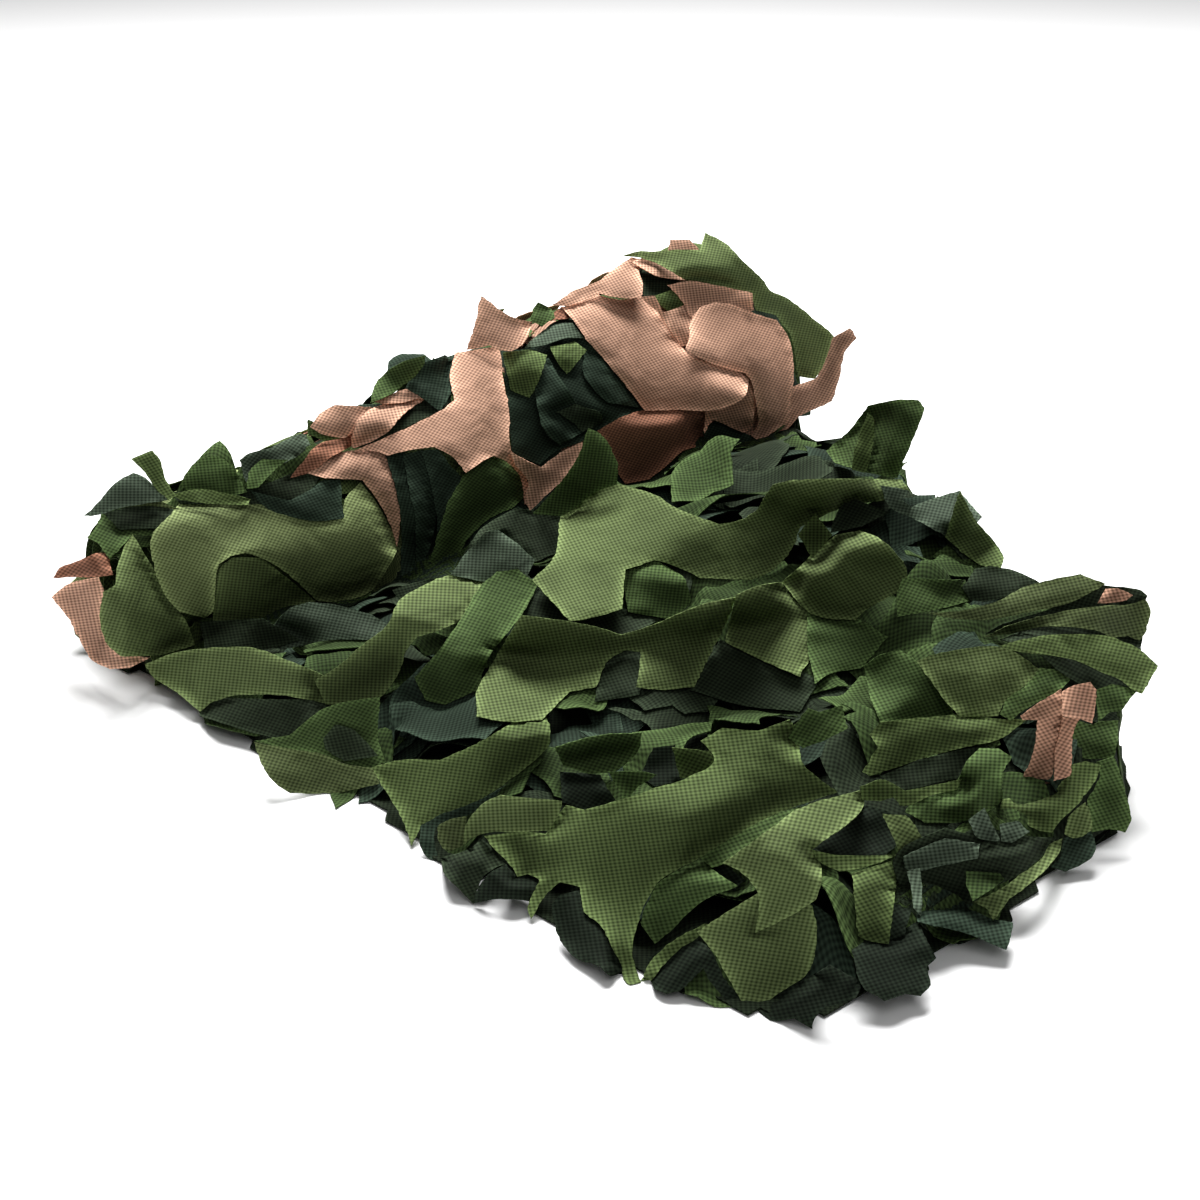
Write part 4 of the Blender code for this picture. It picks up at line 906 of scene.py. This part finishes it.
# Leaves of the roll, from the lowest to the highest, in the same form as those of the tail
# The DARK leaves end hollow, left dark, upper hollow, opening and dark fold three, and foot left, are
# painted shade in the roll's hollows and gaps; end shade and dome shade are leaves darkened as painted
# shade
ROLL_LEAVES = {
    "end tongue": (BROWN, 1, (51,597,1, 70,583,1, 98,577,1, 104,590,1, 102,612,1, 108,640,1, 118,655,1,
        150,657,1, 130,668,1, 110,669,1, 92,660,1, 80,640,1, 68,618,1)),
    "end curl": (RUST, 1, (53,578,3, 60,568,3, 85,558,3, 98,553,4, 108,553,4, 113,575,2, 100,577,3,
        80,577,3)),
    "end shade": (MID, 1, (87,538,2, 95,528,2, 102,512,2, 130,505,2, 165,505,2, 180,510,2, 165,530,2,
        152,535,2, 133,535,2, 125,543,2, 110,560,2, 103,550,2, 98,543,2)),
    "end hollow": (DARK, 0, (103,513,2, 130,507,2, 165,506,2, 178,511,2, 160,528,2, 120,530,2)),
    "end panel": (SAGE, 2, (100,612,3, 103,592,3, 115,585,3, 118,565,5, 128,540,7, 133,534,7, 148,560,4,
        170,600,2, 180,612,1, 188,625,1, 195,645,1, 160,655,1, 120,656,3, 108,645,3, 101,628,3)),
    "foot left": (MID, 0, (200,618,1, 262,615,1, 330,610,1, 330,630,0, 262,645,0, 205,650,0)),
    "wrap under": (SAGE, 1, (213,613,1, 216,585,1, 220,568,1, 232,557,1, 262,558,1, 300,588,1, 316,601,1,
        290,612,1, 268,640,1, 255,640,1, 230,635,1, 215,625,1)),
    "wrap": (LIGHT, 2, (152,535,3, 170,515,4, 180,502,5, 250,502,5, 300,518,5, 343,519,5, 345,500,6,
        360,482,6, 378,505,5, 397,545,4, 385,572,2, 372,590,1, 345,603,0, 318,601,2, 285,572,5, 262,558,7,
        245,553,8, 230,556,7, 218,567,5, 213,612,1, 205,618,0, 180,612,0, 165,595,1, 152,560,2)),
    "left dark": (DARK, 0, (170,492,3, 250,488,3, 300,470,3, 320,478,3, 300,505,3, 250,504,3, 180,504,3)),
    "flap rim": (OLIVE, 1, (88,517,4, 105,506,4, 135,500,6, 160,501,6, 180,510,4, 150,506,4, 120,508,4,
        100,514,4)),
    "flap back": (GREY, 2, (84,516,3, 100,500,5, 115,483,8, 133,473,10, 145,478,10, 158,490,7, 168,500,5,
        150,503,4, 120,508,4, 98,515,3)),
    "dome shade": (MID, 2, (180,485,5, 187,472,8, 197,460,11, 213,456,12, 228,462,11, 240,480,8, 247,492,5,
        235,495,4, 215,492,4, 190,492,4)),
    "dome rim": (GREEN, 1, (172,494,5, 200,489,6, 225,493,5, 250,499,5, 248,505,5, 215,504,5, 180,500,5)),
    "pointed tip": (GREEN, 1, (131,459,13, 152,450,14, 160,460,12, 165,478,9, 172,490,6, 178,495,5,
        168,500,5, 155,488,8, 145,473,11)),
    "blue patch": (BLUE, 1, (250,490,5, 262,494,5, 290,500,5, 310,490,5, 322,481,6, 340,479,7, 344,518,5,
        322,521,5, 300,519,5, 268,509,5)),
    "brown long": (BROWN, 2, (305,473,6, 325,478,6, 340,479,6, 362,480,5, 378,500,4, 392,530,3, 397,547,3,
        400,520,3, 396,490,5, 390,470,6, 386,457,6, 375,450,7, 345,452,7, 320,462,6)),
    "flap grey": (GREY, 2, (240,460,9, 250,453,10, 270,448,11, 295,435,12, 306,434,12, 310,445,9, 298,455,7,
        280,465,7, 262,470,7, 250,488,5, 245,480,6)),
    "flap green": (MID, 1, (246,489,5, 250,470,8, 262,459,9, 288,460,8, 275,470,8, 258,488,5)),
    "brown leaf": (RUST, 1, (290,478,6, 300,465,8, 318,445,10, 340,437,10, 362,430,10, 352,445,8, 330,458,8,
        310,472,7)),
    "upper hollow": (DARK, 0, (352,448,7, 380,430,7, 400,412,7, 420,398,7, 440,400,7, 447,408,7, 430,416,7,
        400,431,7, 375,446,7)),
    "green curl": (MID, 1, (307,434,10, 308,419,13, 318,424,10, 330,431,10, 348,437,10, 325,441,10)),
    "brown crest": (BROWN, 2, (310,427,11, 322,412,13, 335,405,14, 372,407,13, 362,425,11, 345,438,9,
        325,435,11)),
    "brown fold": (BROWN, 2, (350,447,8, 356,425,11, 365,413,13, 385,404,14, 410,400,13, 427,398,11,
        405,413,11, 390,430,9, 375,440,8, 355,448,8)),
    "brown upper": (BROWN, 1, (374,402,12, 400,391,12, 427,380,11, 432,395,12, 405,402,12, 385,404,12)),
    "curl blue": (BLUE, 1, (405,388,10, 420,366,13, 445,355,14, 462,366,12, 455,385,10, 440,412,8,
        425,400,10)),
    "curl dark": (MID, 1, (371,403,12, 376,383,14, 400,363,16, 426,355,16, 422,368,12, 404,385,12,
        388,396,12)),
    "pleat one": (BLUE, 1, (386,456,7, 405,452,7, 412,500,5, 419,540,5, 412,576,3, 401,576,3, 401,520,5,
        396,490,6)),
    "pleat two": (BLUE, 1, (403,455,8, 423,450,8, 433,490,6, 436,522,6, 425,562,3, 416,562,3, 415,520,6,
        409,490,7)),
    "pleat three": (BLUE, 1, (421,451,9, 438,449,9, 450,465,8, 462,478,7, 450,505,7, 440,548,4, 435,552,3,
        437,520,7, 430,480,8)),
    "arch": (MID, 3, (422,584,3, 434,548,5, 447,506,8, 462,478,10, 475,465,11, 495,457,12, 510,464,12,
        521,475,11, 528,492,9, 515,506,7, 500,513,6, 480,526,4, 462,548,3, 450,577,2)),
    "dark patch": (BLUE, 2, (503,352,5, 530,348,6, 550,325,7, 565,318,7, 580,322,7, 590,338,5, 602,357,4,
        622,380,4, 645,410,3, 620,418,3, 600,430,3, 580,442,3, 555,452,3, 540,465,2, 528,460,2, 512,452,2,
        509,420,3, 506,390,4)),
    "dark fold": (BLUE, 2, (530,362,7, 548,358,7, 562,380,7, 575,400,6, 590,428,5, 560,445,4, 545,432,5,
        536,400,7)),
    "dark fold two": (BLUE, 1, (585,352,8, 602,360,6, 625,390,5, 640,408,4, 606,402,5, 590,385,7,
        583,372,7)),
    "dark fold three": (DARK, 1, (556,412,5, 575,404,5, 600,412,4, 604,422,4, 582,432,4, 572,422,5)),
    "green left": (GREEN, 1, (503,352,7, 530,350,8, 547,355,7, 540,378,6, 529,398,5, 511,390,5)),
    "green right": (GREEN, 1, (550,347,8, 575,342,8, 587,350,7, 575,366,6, 567,374,6, 557,362,8)),
    "grey band": (GREY, 1, (524,348,7, 540,333,8, 556,324,9, 572,323,9, 584,338,7, 562,339,8, 545,345,8)),
    "rust rim": (RUST, 1, (520,349,8, 532,333,10, 548,321,10, 573,318,9, 562,306,11, 550,316,10,
        536,328,10)),
    "saddle": (BROWN, 2, (455,353,9, 500,346,8, 503,380,6, 509,410,5, 511,450,4, 523,470,3, 532,503,2,
        525,505,2, 520,476,5, 506,461,7, 493,456,8, 478,464,8, 466,473,8, 451,456,8, 434,447,9, 410,450,9,
        388,456,8, 375,451,8, 354,451,8, 400,431,9, 440,411,9, 454,400,9, 450,375,9)),
    "rib brown": (BROWN, 1, (509,451,4, 528,461,5, 541,467,5, 560,453,5, 582,442,6, 583,452,5, 560,482,3,
        541,500,2, 530,511,1, 525,500,2, 528,481,4, 516,466,5)),
    "brown tip": (BROWN, 1, (467,350,9, 473,330,13, 481,296,21, 488,300,20, 500,310,17, 515,318,14,
        532,322,11, 525,342,9, 512,351,8, 500,350,12, 489,345,12, 478,348,12)),
    "curl tip": (MID, 1, (531,319,11, 533,310,13, 537,302,14, 551,309,12, 555,318,10, 541,327,9)),
    "lower brown": (RUST, 2, (597,431,6, 620,418,7, 640,411,8, 680,409,9, 706,406,9, 707,425,7, 703,446,5,
        682,451,4, 667,465,2, 650,479,1, 625,484,1, 612,461,3, 604,441,5)),
    "foot dark": (BLUE, 1, (703,432,2, 715,421,2, 726,424,2, 745,433,2, 760,441,1, 735,446,1, 705,444,1)),
    "lower print": (BROWN, 1, (705,412,5, 728,402,5, 750,380,6, 754,400,5, 752,427,3, 744,433,2, 725,425,2,
        713,419,3, 704,433,3)),
    "big brown": (BROWN, 2, (574,321,9, 560,307,11, 573,305,11, 590,300,10, 601,296,10, 620,300,9,
        641,297,8, 656,310,7, 667,326,6, 682,347,5, 692,357,4, 715,364,4, 736,370,4, 749,380,5, 745,396,5,
        730,406,5, 706,411,6, 680,410,7, 645,411,7, 622,381,9, 602,357,9, 586,339,9)),
    "opening": (DARK, 0, (638,268,6, 660,270,6, 690,282,6, 675,300,6, 660,306,6, 645,300,6, 641,285,6)),
    "green bit": (GREEN, 1, (654,296,6, 672,290,6, 684,300,6, 690,308,6, 673,314,6, 661,306,6)),
    "brown mid": (BROWN, 1, (640,297,7, 655,296,6, 664,313,6, 686,305,6, 692,320,5, 690,346,4, 681,346,4,
        667,326,5, 656,310,6)),
    "ridge brown": (BROWN, 2, (553,305,11, 575,290,12, 600,280,12, 615,268,13, 632,257,14, 646,261,13,
        639,270,11, 643,284,9, 641,298,8, 620,298,9, 600,294,9, 585,300,10, 570,306,10)),
    "top lip": (BROWN, 1, (632,262,12, 645,257,13, 667,261,12, 687,269,12, 708,281,10, 680,280,9, 660,277,9,
        648,272,10)),
    "top tip": (BROWN, 1, (667,258,10, 670,240,15, 690,240,15, 699,249,13, 697,262,10, 683,264,9)),
    "top green": (SAGE, 2, (622,256,12, 640,251,13, 655,252,13, 668,250,13, 700,250,12, 705,233,12,
        725,243,12, 746,264,11, 762,279,9, 770,290,8, 790,300,8, 815,320,8, 833,336,8, 832,350,7, 825,366,6,
        815,379,5, 797,376,5, 795,355,5, 790,335,6, 776,315,7, 756,310,7, 751,294,8, 720,286,9, 690,281,10,
        660,265,12, 640,258,12)),
    "band brown": (BROWN, 1, (667,285,8, 690,281,10, 720,286,11, 752,293,10, 754,310,9, 740,313,9,
        716,305,9, 700,306,9, 691,319,7, 685,306,7, 675,293,8)),
    "rim": (BROWN, 2, (789,388,6, 815,379,7, 825,362,9, 833,337,12, 850,328,15, 857,338,13, 845,352,11,
        840,376,9, 832,401,8, 815,409,6, 800,416,5, 785,431,3, 764,441,2, 784,421,4)),
    "right brown leaf": (BROWN, 3, (691,319,9, 700,307,10, 715,302,10, 730,304,10, 751,312,10, 776,320,9,
        785,331,9, 791,346,8, 794,370,7, 791,400,6, 786,421,5, 775,431,4, 760,441,3, 751,436,3, 758,425,7,
        757,410,9, 751,381,10, 745,373,11, 720,367,12, 700,358,13, 685,349,13, 689,338,11)),
}


# Leaves over what the picture hides, and as the under layers


def leaf_shape(draw, length, width):
    """A leaf cut: a bent outline with uneven sides, which tapers to a tip."""
    shares, count = LEAF_PLACES, len(LEAF_PLACES)
    half = width / 2 * LEAF_WIDTHS * draw.uniform(*LEAF_WIDTH_SPREAD, count)
    bend = draw.uniform(-LEAF_BEND, LEAF_BEND) * length
    middle = bend * 4 * shares * (1 - shares)
    along = (shares - 0.5) * length + draw.uniform(-LEAF_SHIFT, LEAF_SHIFT, count) * length
    right = np.column_stack((along, middle - half))
    left = np.column_stack((along, middle + half * draw.uniform(*LEAF_LEFT_SPREAD, count)))[::-1]
    tip = np.array(((length / 2, draw.uniform(-LEAF_TIP, LEAF_TIP) * width),))
    return np.vstack((right, tip, left))


def within_net(points):
    """Which points are behind the net's own outline in the picture."""
    return inside_outline(picture_spots(points), NET_OUTLINE)[0]


def drawn_in(outline, surface, place):
    """The outline made small enough to stay behind the net's own in the picture, or None."""
    for _ in range(SHRINK_TRIES):
        if within_net(surface.from_chart(outline[:, :2], outline[:, 2])).all():
            return outline
        outline = outline.copy()
        outline[:, :2] = place + SHRINK * (outline[:, :2] - place)
    return None


def pull_in(points, step, rounds):
    """Moves the far side's points in until the net's own outline hides them, if it can."""
    far_side = points[:, 0] > tail_right(points[:, 1]) - FAR_SIDE
    for _ in range(rounds):
        points[far_side & ~within_net(points), 0] -= step
    return within_net(points).all()


def tint_at(place, colours, draw):
    tints = next(tints for limit, tints in colours if place[0] < limit)
    return tints[draw.integers(len(tints))]


def scatter(leaves, surface, batch, places, draw, pulled=False):
    """Leaves of uneven sizes and turns, one at each place of the chart, the uppermost first."""
    last_lift, first_lift = batch.lift
    for number, place in enumerate(places):
        length = draw.uniform(*batch.length) * MM
        shape = leaf_shape(draw, length, length * draw.uniform(*LEAF_SLIMNESS))
        shape = turned(shape, draw.uniform(0, math.tau)) + place
        level = first_lift + (last_lift - first_lift) * number / len(places)
        lift = (level + draw.uniform(*LIFT_SPREAD, len(shape))) * MM
        outline = rounded_outline(np.column_stack((shape, lift)), OUTLINE_STEP)
        outline[:, :2] += draw.normal(scale=OUTLINE_JITTER, size=(len(outline), 2))
        if not pulled:
            outline = drawn_in(outline, surface, place)
        if outline is None:
            continue
        flat, lift, faces, away = fill_outline(outline, FILL_STEP)
        pairs = neighbours(faces)
        points = surface.from_chart(flat, lift)
        crown, curl = draw.uniform(*CROWN_SPREAD) * MM, draw.uniform(*batch.curl) * MM
        lift = lift + shaped(points, away, crown, curl, batch.seed + SEED_STEP * number)
        room = surface.around(flat) - CLEARANCE
        for _ in range(SCATTER_ROUNDS):
            lift = np.minimum(smoothed(lift, pairs, SMOOTH_ROUNDS), room)
        lift = np.maximum(lift, LOWEST)
        points = surface.from_chart(flat, lift)
        tint = tint_at(place, batch.colours, draw)
        thread_turn = draw.uniform(-TURN_SPREAD, TURN_SPREAD)
        if pulled and not pull_in(points, PULL_STEP, PULLS):
            continue
        if len(points) < SMALL_LEAF and lift.min() > HANGS:
            continue
        surface.cover(flat, lift, faces)
        leaves.add(points, faces, tint, away, flat, thread_turn)


def spread_places(low, high, step, draw, keep=None):
    """Uneven places about step apart between two corners of a chart."""
    places = []
    for x in np.arange(low[0], high[0], step):
        for y in np.arange(low[1], high[1], step):
            place = np.array((x, y)) + draw.uniform(-PLACE_SPREAD, PLACE_SPREAD, 2) * step
            if keep is None or keep(place):
                places.append(place)
    draw.shuffle(places)
    return places


def edge_places(rows, spread, ends, step, draw):
    """Uneven places about step apart in rows beside the tail's right edge."""
    places = [
        np.array((tail_right(y) + (row + draw.uniform(*spread)) * MM, y))
        for row in rows
        for y in np.arange(*ends, step)
    ]
    draw.shuffle(places)
    return places


def on_tail(place):
    x, y = place
    left, right = TAIL_LEFT - TAIL_MARGIN, tail_right(y) + TAIL_MARGIN
    return left < x < right and TAIL_FRONT - TAIL_MARGIN < y < TAIL_BACK


def under_tail_leaves():
    leaves = Leaves("tail_under_leaves")
    draw = np.random.default_rng(UNDER_TAIL_SEED)
    scatter(leaves, TAIL, TAIL_LOOSE, spread_places(*TAIL_LOOSE_PLACES, draw, on_tail), draw)
    scatter(leaves, TAIL, TAIL_SKIRT, edge_places(*SKIRT_PLACES, draw), draw)
    scatter(leaves, TAIL, TAIL_UNDER, spread_places(*TAIL_UNDER_PLACES, draw, on_tail), draw)
    scatter(leaves, TAIL, TAIL_WALL, edge_places(*WALL_PLACES, draw), draw, pulled=True)
    return leaves


def under_roll_leaves():
    leaves = Leaves("roll_under_leaves")
    draw = np.random.default_rng(UNDER_ROLL_SEED)
    for batch, *corners, step in ROLL_BATCHES:
        low, high = ((x, math.radians(degrees) * Roll.MIDDLE) for x, degrees in corners)
        scatter(leaves, ROLL, batch, spread_places(low, high, step, draw), draw)
    return leaves


# The dark cloth under the leaves, dark as painted shade


def grid_faces(rows, columns, closed=False):
    """Triangles over a grid of points, row by row. A closed grid joins each row's two ends."""
    index = np.arange(rows * columns).reshape(rows, columns)
    if closed:
        index = np.column_stack((index, index[:, 0]))
    corners = (index[:-1, :-1], index[1:, :-1], index[1:, 1:], index[:-1, 1:])
    a, b, c, d = (corner.ravel() for corner in corners)
    return np.vstack((np.column_stack((a, b, c)), np.column_stack((a, c, d))))


def core_of_tail():
    """The folded layers under the leaves: an uneven sheet down to the floor, and one below, both dark as
    painted shade.
    """
    leaves = Leaves("tail_layers")
    xs, ys = np.arange(*CORE_X, CORE_STEP), np.arange(*CORE_Y, CORE_STEP)
    grid = np.array([(x, y) for x in xs for y in ys])
    faces = grid_faces(len(xs), len(ys))
    points = TAIL.from_chart(grid, np.full(len(grid), LOWEST - CORE_UNDER))
    points[:, 2] += CORE_WAVE * ripples(points, CORE_SEED, CORE_WAVE_LENGTH)
    pull_in(points, CORE_PULL, CORE_PULLS)
    for _ in range(CORE_DROPS):
        out = ~within_net(points)
        points[out, 2] = np.maximum(points[out, 2] - CORE_DROP, CORE_FLOOR)
    raised = TAIL.base(grid[:, 0], grid[:, 1]) > CORE_LEAST
    kept = raised[faces].any(axis=1) & within_net(points)[faces].all(axis=1)
    used, renumbered = np.unique(faces[kept], return_inverse=True)
    faces = renumbered.reshape(-1, 3)
    # DARK: painted shade, showing between the leaves
    leaves.add(points[used], faces, DARK, DEEP, grid[used])
    bottom = points[used]
    bottom[:, 2] = CORE_BOTTOM
    leaves.add(bottom, faces[:, ::-1], DARK, DEEP, grid[used])
    return leaves


def core_of_roll():
    """The roll's skin, under its leaves, dark as painted shade."""
    leaves = Leaves("roll_skin")
    xs = np.linspace(ROLL_X[0] + END_SUNK, ROLL_X[-1] - END_SUNK, SKIN_ALONG)
    angles = np.linspace(-math.pi, math.pi, SKIN_AROUND + 1)[:-1]
    grid = np.array([(x, angle * Roll.MIDDLE) for x in xs for angle in angles])
    points = ROLL.from_chart(grid, np.full(len(grid), LOWEST - SKIN_UNDER))
    # DARK: painted shade, showing between the leaves
    leaves.add(points, grid_faces(SKIN_ALONG, SKIN_AROUND, closed=True), DARK, DEEP, grid)
    return leaves


def roll_end(name, x_end, outward, seed):
    """The wound turns that show at one end of the roll."""
    leaves = Leaves(name)
    whole = float(Roll.radius(x_end))
    radius = whole - SPIRAL_INSET
    angles, angle = [], 0.0
    while SPIRAL_PITCH * angle / math.tau + SPIRAL_START < radius:
        angles.append(angle)
        angle += SPIRAL_STEP / (SPIRAL_PITCH * angle / math.tau + SPIRAL_STEP_RADIUS)
    depths = np.linspace(0.0, 1.0, SPIRAL_ROWS)
    turn, depth = (part.ravel() for part in np.meshgrid(np.array(angles), depths, indexing="ij"))
    ring = np.column_stack((np.cos(turn), np.sin(turn), turn / SPIRAL_WAVE_TURNS))
    wave = ripples(ring * SPIRAL_WAVE_RADIUS * MM, seed, SPIRAL_WAVE_LENGTH)
    reach = SPIRAL_START + SPIRAL_PITCH * turn / math.tau + SPIRAL_WAVE * wave
    line = np.column_stack((turn * SPIRAL_EDGE_RUN * MM, turn * 0, turn * 0))
    edge_wave = SPIRAL_EDGE_WAVE * ripples(line, seed + 1, SPIRAL_EDGE_LENGTH)
    edge = SPIRAL_DOME * (1 - reach / radius) + edge_wave
    x = x_end + outward * (edge - SPIRAL_DEPTH * depth)
    centre = whole - ROLL_SINK
    points = np.column_stack((x, -reach * np.sin(turn), centre + reach * np.cos(turn)))
    run = SPIRAL_START * turn + SPIRAL_PITCH * turn**2 / (2 * math.tau)
    flat = np.column_stack((run, SPIRAL_DEPTH * depth))
    leaves.add(points, grid_faces(len(angles), SPIRAL_ROWS), MID, DEEP, flat)
    return leaves


# Materials


def cloth_material(name):
    """Printed plain weave, with painted highlight on thread crowns, painted shade in the gaps
    and a painted highlight along cut edges. Threads, gaps and bump follow the cloth's own thread
    directions.
    """
    material = bpy.data.materials.new(name)
    material.use_nodes = True
    nodes, links = material.node_tree.nodes, material.node_tree.links

    def fill(made, inputs):
        for key, value in inputs.items():
            if isinstance(value, bpy.types.NodeSocket):
                links.new(value, made.inputs[key])
            else:
                made.inputs[key].default_value = value

    def node(kind, inputs, **settings):
        """A new node's outputs. Each of its inputs is a value or what another node gives."""
        made = nodes.new("ShaderNode" + kind)
        for key, value in settings.items():
            setattr(made, key, value)
        fill(made, inputs)
        return made.outputs

    def maths(operation, *values):
        return node("Math", dict(enumerate(values)), operation=operation)[0]

    def mapped(value, low, high, to_low, to_high):
        ends = {"From Min": low, "From Max": high, "To Min": to_low, "To Max": to_high}
        return node("MapRange", {"Value": value, **ends})[0]

    place = node("TexCoord", {})["Object"]
    threads = node("SeparateXYZ", {"Vector": node("UVMap", {}, uv_map="threads")["UV"]})
    along, across = (
        maths("SINE", maths("MULTIPLY", threads[axis], math.pi / THREAD_PITCH)) for axis in "XY"
    )
    raised = maths("ADD", maths("MULTIPLY", maths("MULTIPLY", along, across), 0.5), 0.5)

    tint = node("Attribute", {}, attribute_name="tint")
    fade = node("TexNoise", {"Vector": place, "Scale": FADE_SCALE, "Detail": FADE_DETAIL})["Fac"]
    # The weave's pattern in the colour: painted highlight on the thread crowns and painted shade in the
    # gaps, times a random fade
    shade = maths("MULTIPLY", mapped(raised, 0.0, 1.0, *WEAVE_LIGHT_AND_SHADE), mapped(fade, *FADE_SHADES))
    # pale: the painted highlight along cut edges, read from the tint's alpha
    pale = maths("ADD", maths("MULTIPLY", tint["Alpha"], RIM_HIGHLIGHT), 1.0)
    scale = {0: tint["Color"], "Scale": maths("MULTIPLY", shade, pale)}
    colour = node("VectorMath", scale, operation="SCALE")[0]

    creases = node("TexNoise", {"Vector": place, **CRUMPLES})["Fac"]
    crumpled = node("Bump", {"Height": creases, **CRUMPLE_BUMP})["Normal"]
    normal = node("Bump", {"Height": raised, "Normal": crumpled, **WEAVE_BUMP})["Normal"]
    fill(nodes["Principled BSDF"], {"Base Color": colour, "Normal": normal, **SHEEN})
    return material


def floor_material():
    material = bpy.data.materials.new("pale floor")
    material.use_nodes = True
    shader = material.node_tree.nodes["Principled BSDF"]
    shader.inputs["Base Color"].default_value = FLOOR_COLOUR
    shader.inputs["Roughness"].default_value = FLOOR_ROUGHNESS
    return material


# The scene around it


def add_floor():
    bpy.ops.mesh.primitive_plane_add(size=FLOOR_SIZE, location=(0, 0, 0))
    floor = bpy.context.object
    floor.name = "floor"
    floor.data.materials.append(floor_material())


def add_light(name, place, size, power):
    light = bpy.data.lights.new(name, "AREA")
    light.shape = "DISK"
    light.size = size
    light.energy = power
    lamp = bpy.data.objects.new(name, light)
    bpy.context.scene.collection.objects.link(lamp)
    lamp.location = place
    lamp.rotation_euler = (LIGHT_TARGET - lamp.location).to_track_quat("-Z", "Y").to_euler()


def add_lights():
    """Two lamps and a soft white world, which is plain white where the camera sees it."""
    world = bpy.data.worlds.new("studio")
    world.use_nodes = True
    nodes, links = world.node_tree.nodes, world.node_tree.links
    soft = nodes["Background"]
    soft.inputs["Color"].default_value = WHITE
    soft.inputs["Strength"].default_value = SOFT_LIGHT
    wall = nodes.new("ShaderNodeBackground")
    wall.inputs["Color"].default_value = WHITE
    seen = nodes.new("ShaderNodeLightPath")
    either = nodes.new("ShaderNodeMixShader")
    links.new(seen.outputs["Is Camera Ray"], either.inputs["Fac"])
    links.new(soft.outputs[0], either.inputs[1])
    links.new(wall.outputs[0], either.inputs[2])
    links.new(either.outputs[0], nodes["World Output"].inputs["Surface"])
    bpy.context.scene.world = world
    bpy.context.scene.view_settings.view_transform = "Standard"
    bpy.context.scene.view_settings.look = "Medium High Contrast"
    add_light(*KEY_LIGHT)
    add_light(*FILL_LIGHT)


def add_camera():
    lens = bpy.data.cameras.new("camera")
    lens.sensor_width = SENSOR
    lens.lens = SENSOR * FOCAL_POINTS / PICTURE
    lens.clip_start = CLIP_START
    camera = bpy.data.objects.new("camera", lens)
    bpy.context.scene.collection.objects.link(camera)
    camera.location = CAMERA_PLACE
    camera.rotation_euler = (math.pi / 2 - CAMERA_DOWN, 0.0, -CAMERA_TURN)
    bpy.context.scene.camera = camera


# The net


def tail_leaves():
    leaves = Leaves("tail_leaves")
    picture_leaves(leaves, TAIL, FRONT_BITS, first_seed=1700, from_floor=True)
    picture_leaves(leaves, TAIL, EDGE_LEAVES, first_seed=1500, from_floor=True)
    picture_leaves(leaves, TAIL, TAIL_LEAVES, first_seed=997, raised=TAIL_RAISED)
    picture_leaves(leaves, TAIL, SHADED_HOLLOWS, first_seed=1800)
    picture_leaves(leaves, TAIL, FLOOR_LEAVES, first_seed=900, from_floor=True)
    return leaves


def roll_leaves():
    leaves = Leaves("roll_leaves")
    picture_leaves(leaves, ROLL, ROLL_LEAVES, first_seed=2000)
    return leaves


def add_net():
    """Each piece is a share of the one cloth, whose folded strip is 0.30 m wide."""
    cloth = cloth_material("printed cloth")
    shown = [tail_leaves(), roll_leaves()]
    for leaves in shown:
        points = np.vstack(leaves.points)
        TAIL.clear_sight(points)
        ROLL.clear_sight(points)
    hidden = [
        under_tail_leaves(),
        under_roll_leaves(),
        core_of_tail(),
        core_of_roll(),
        roll_end("left_end_turns", ROLL_X[0] + END_SUNK, outward=-1, seed=31),
        roll_end("right_end_turns", ROLL_X[-1] - END_SUNK, outward=1, seed=41),
    ]
    for leaves in shown + hidden:
        piece = leaves.build(cloth)
        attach(piece, "root")
        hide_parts(NET)


add_camera()
add_floor()
add_lights()
add_net()
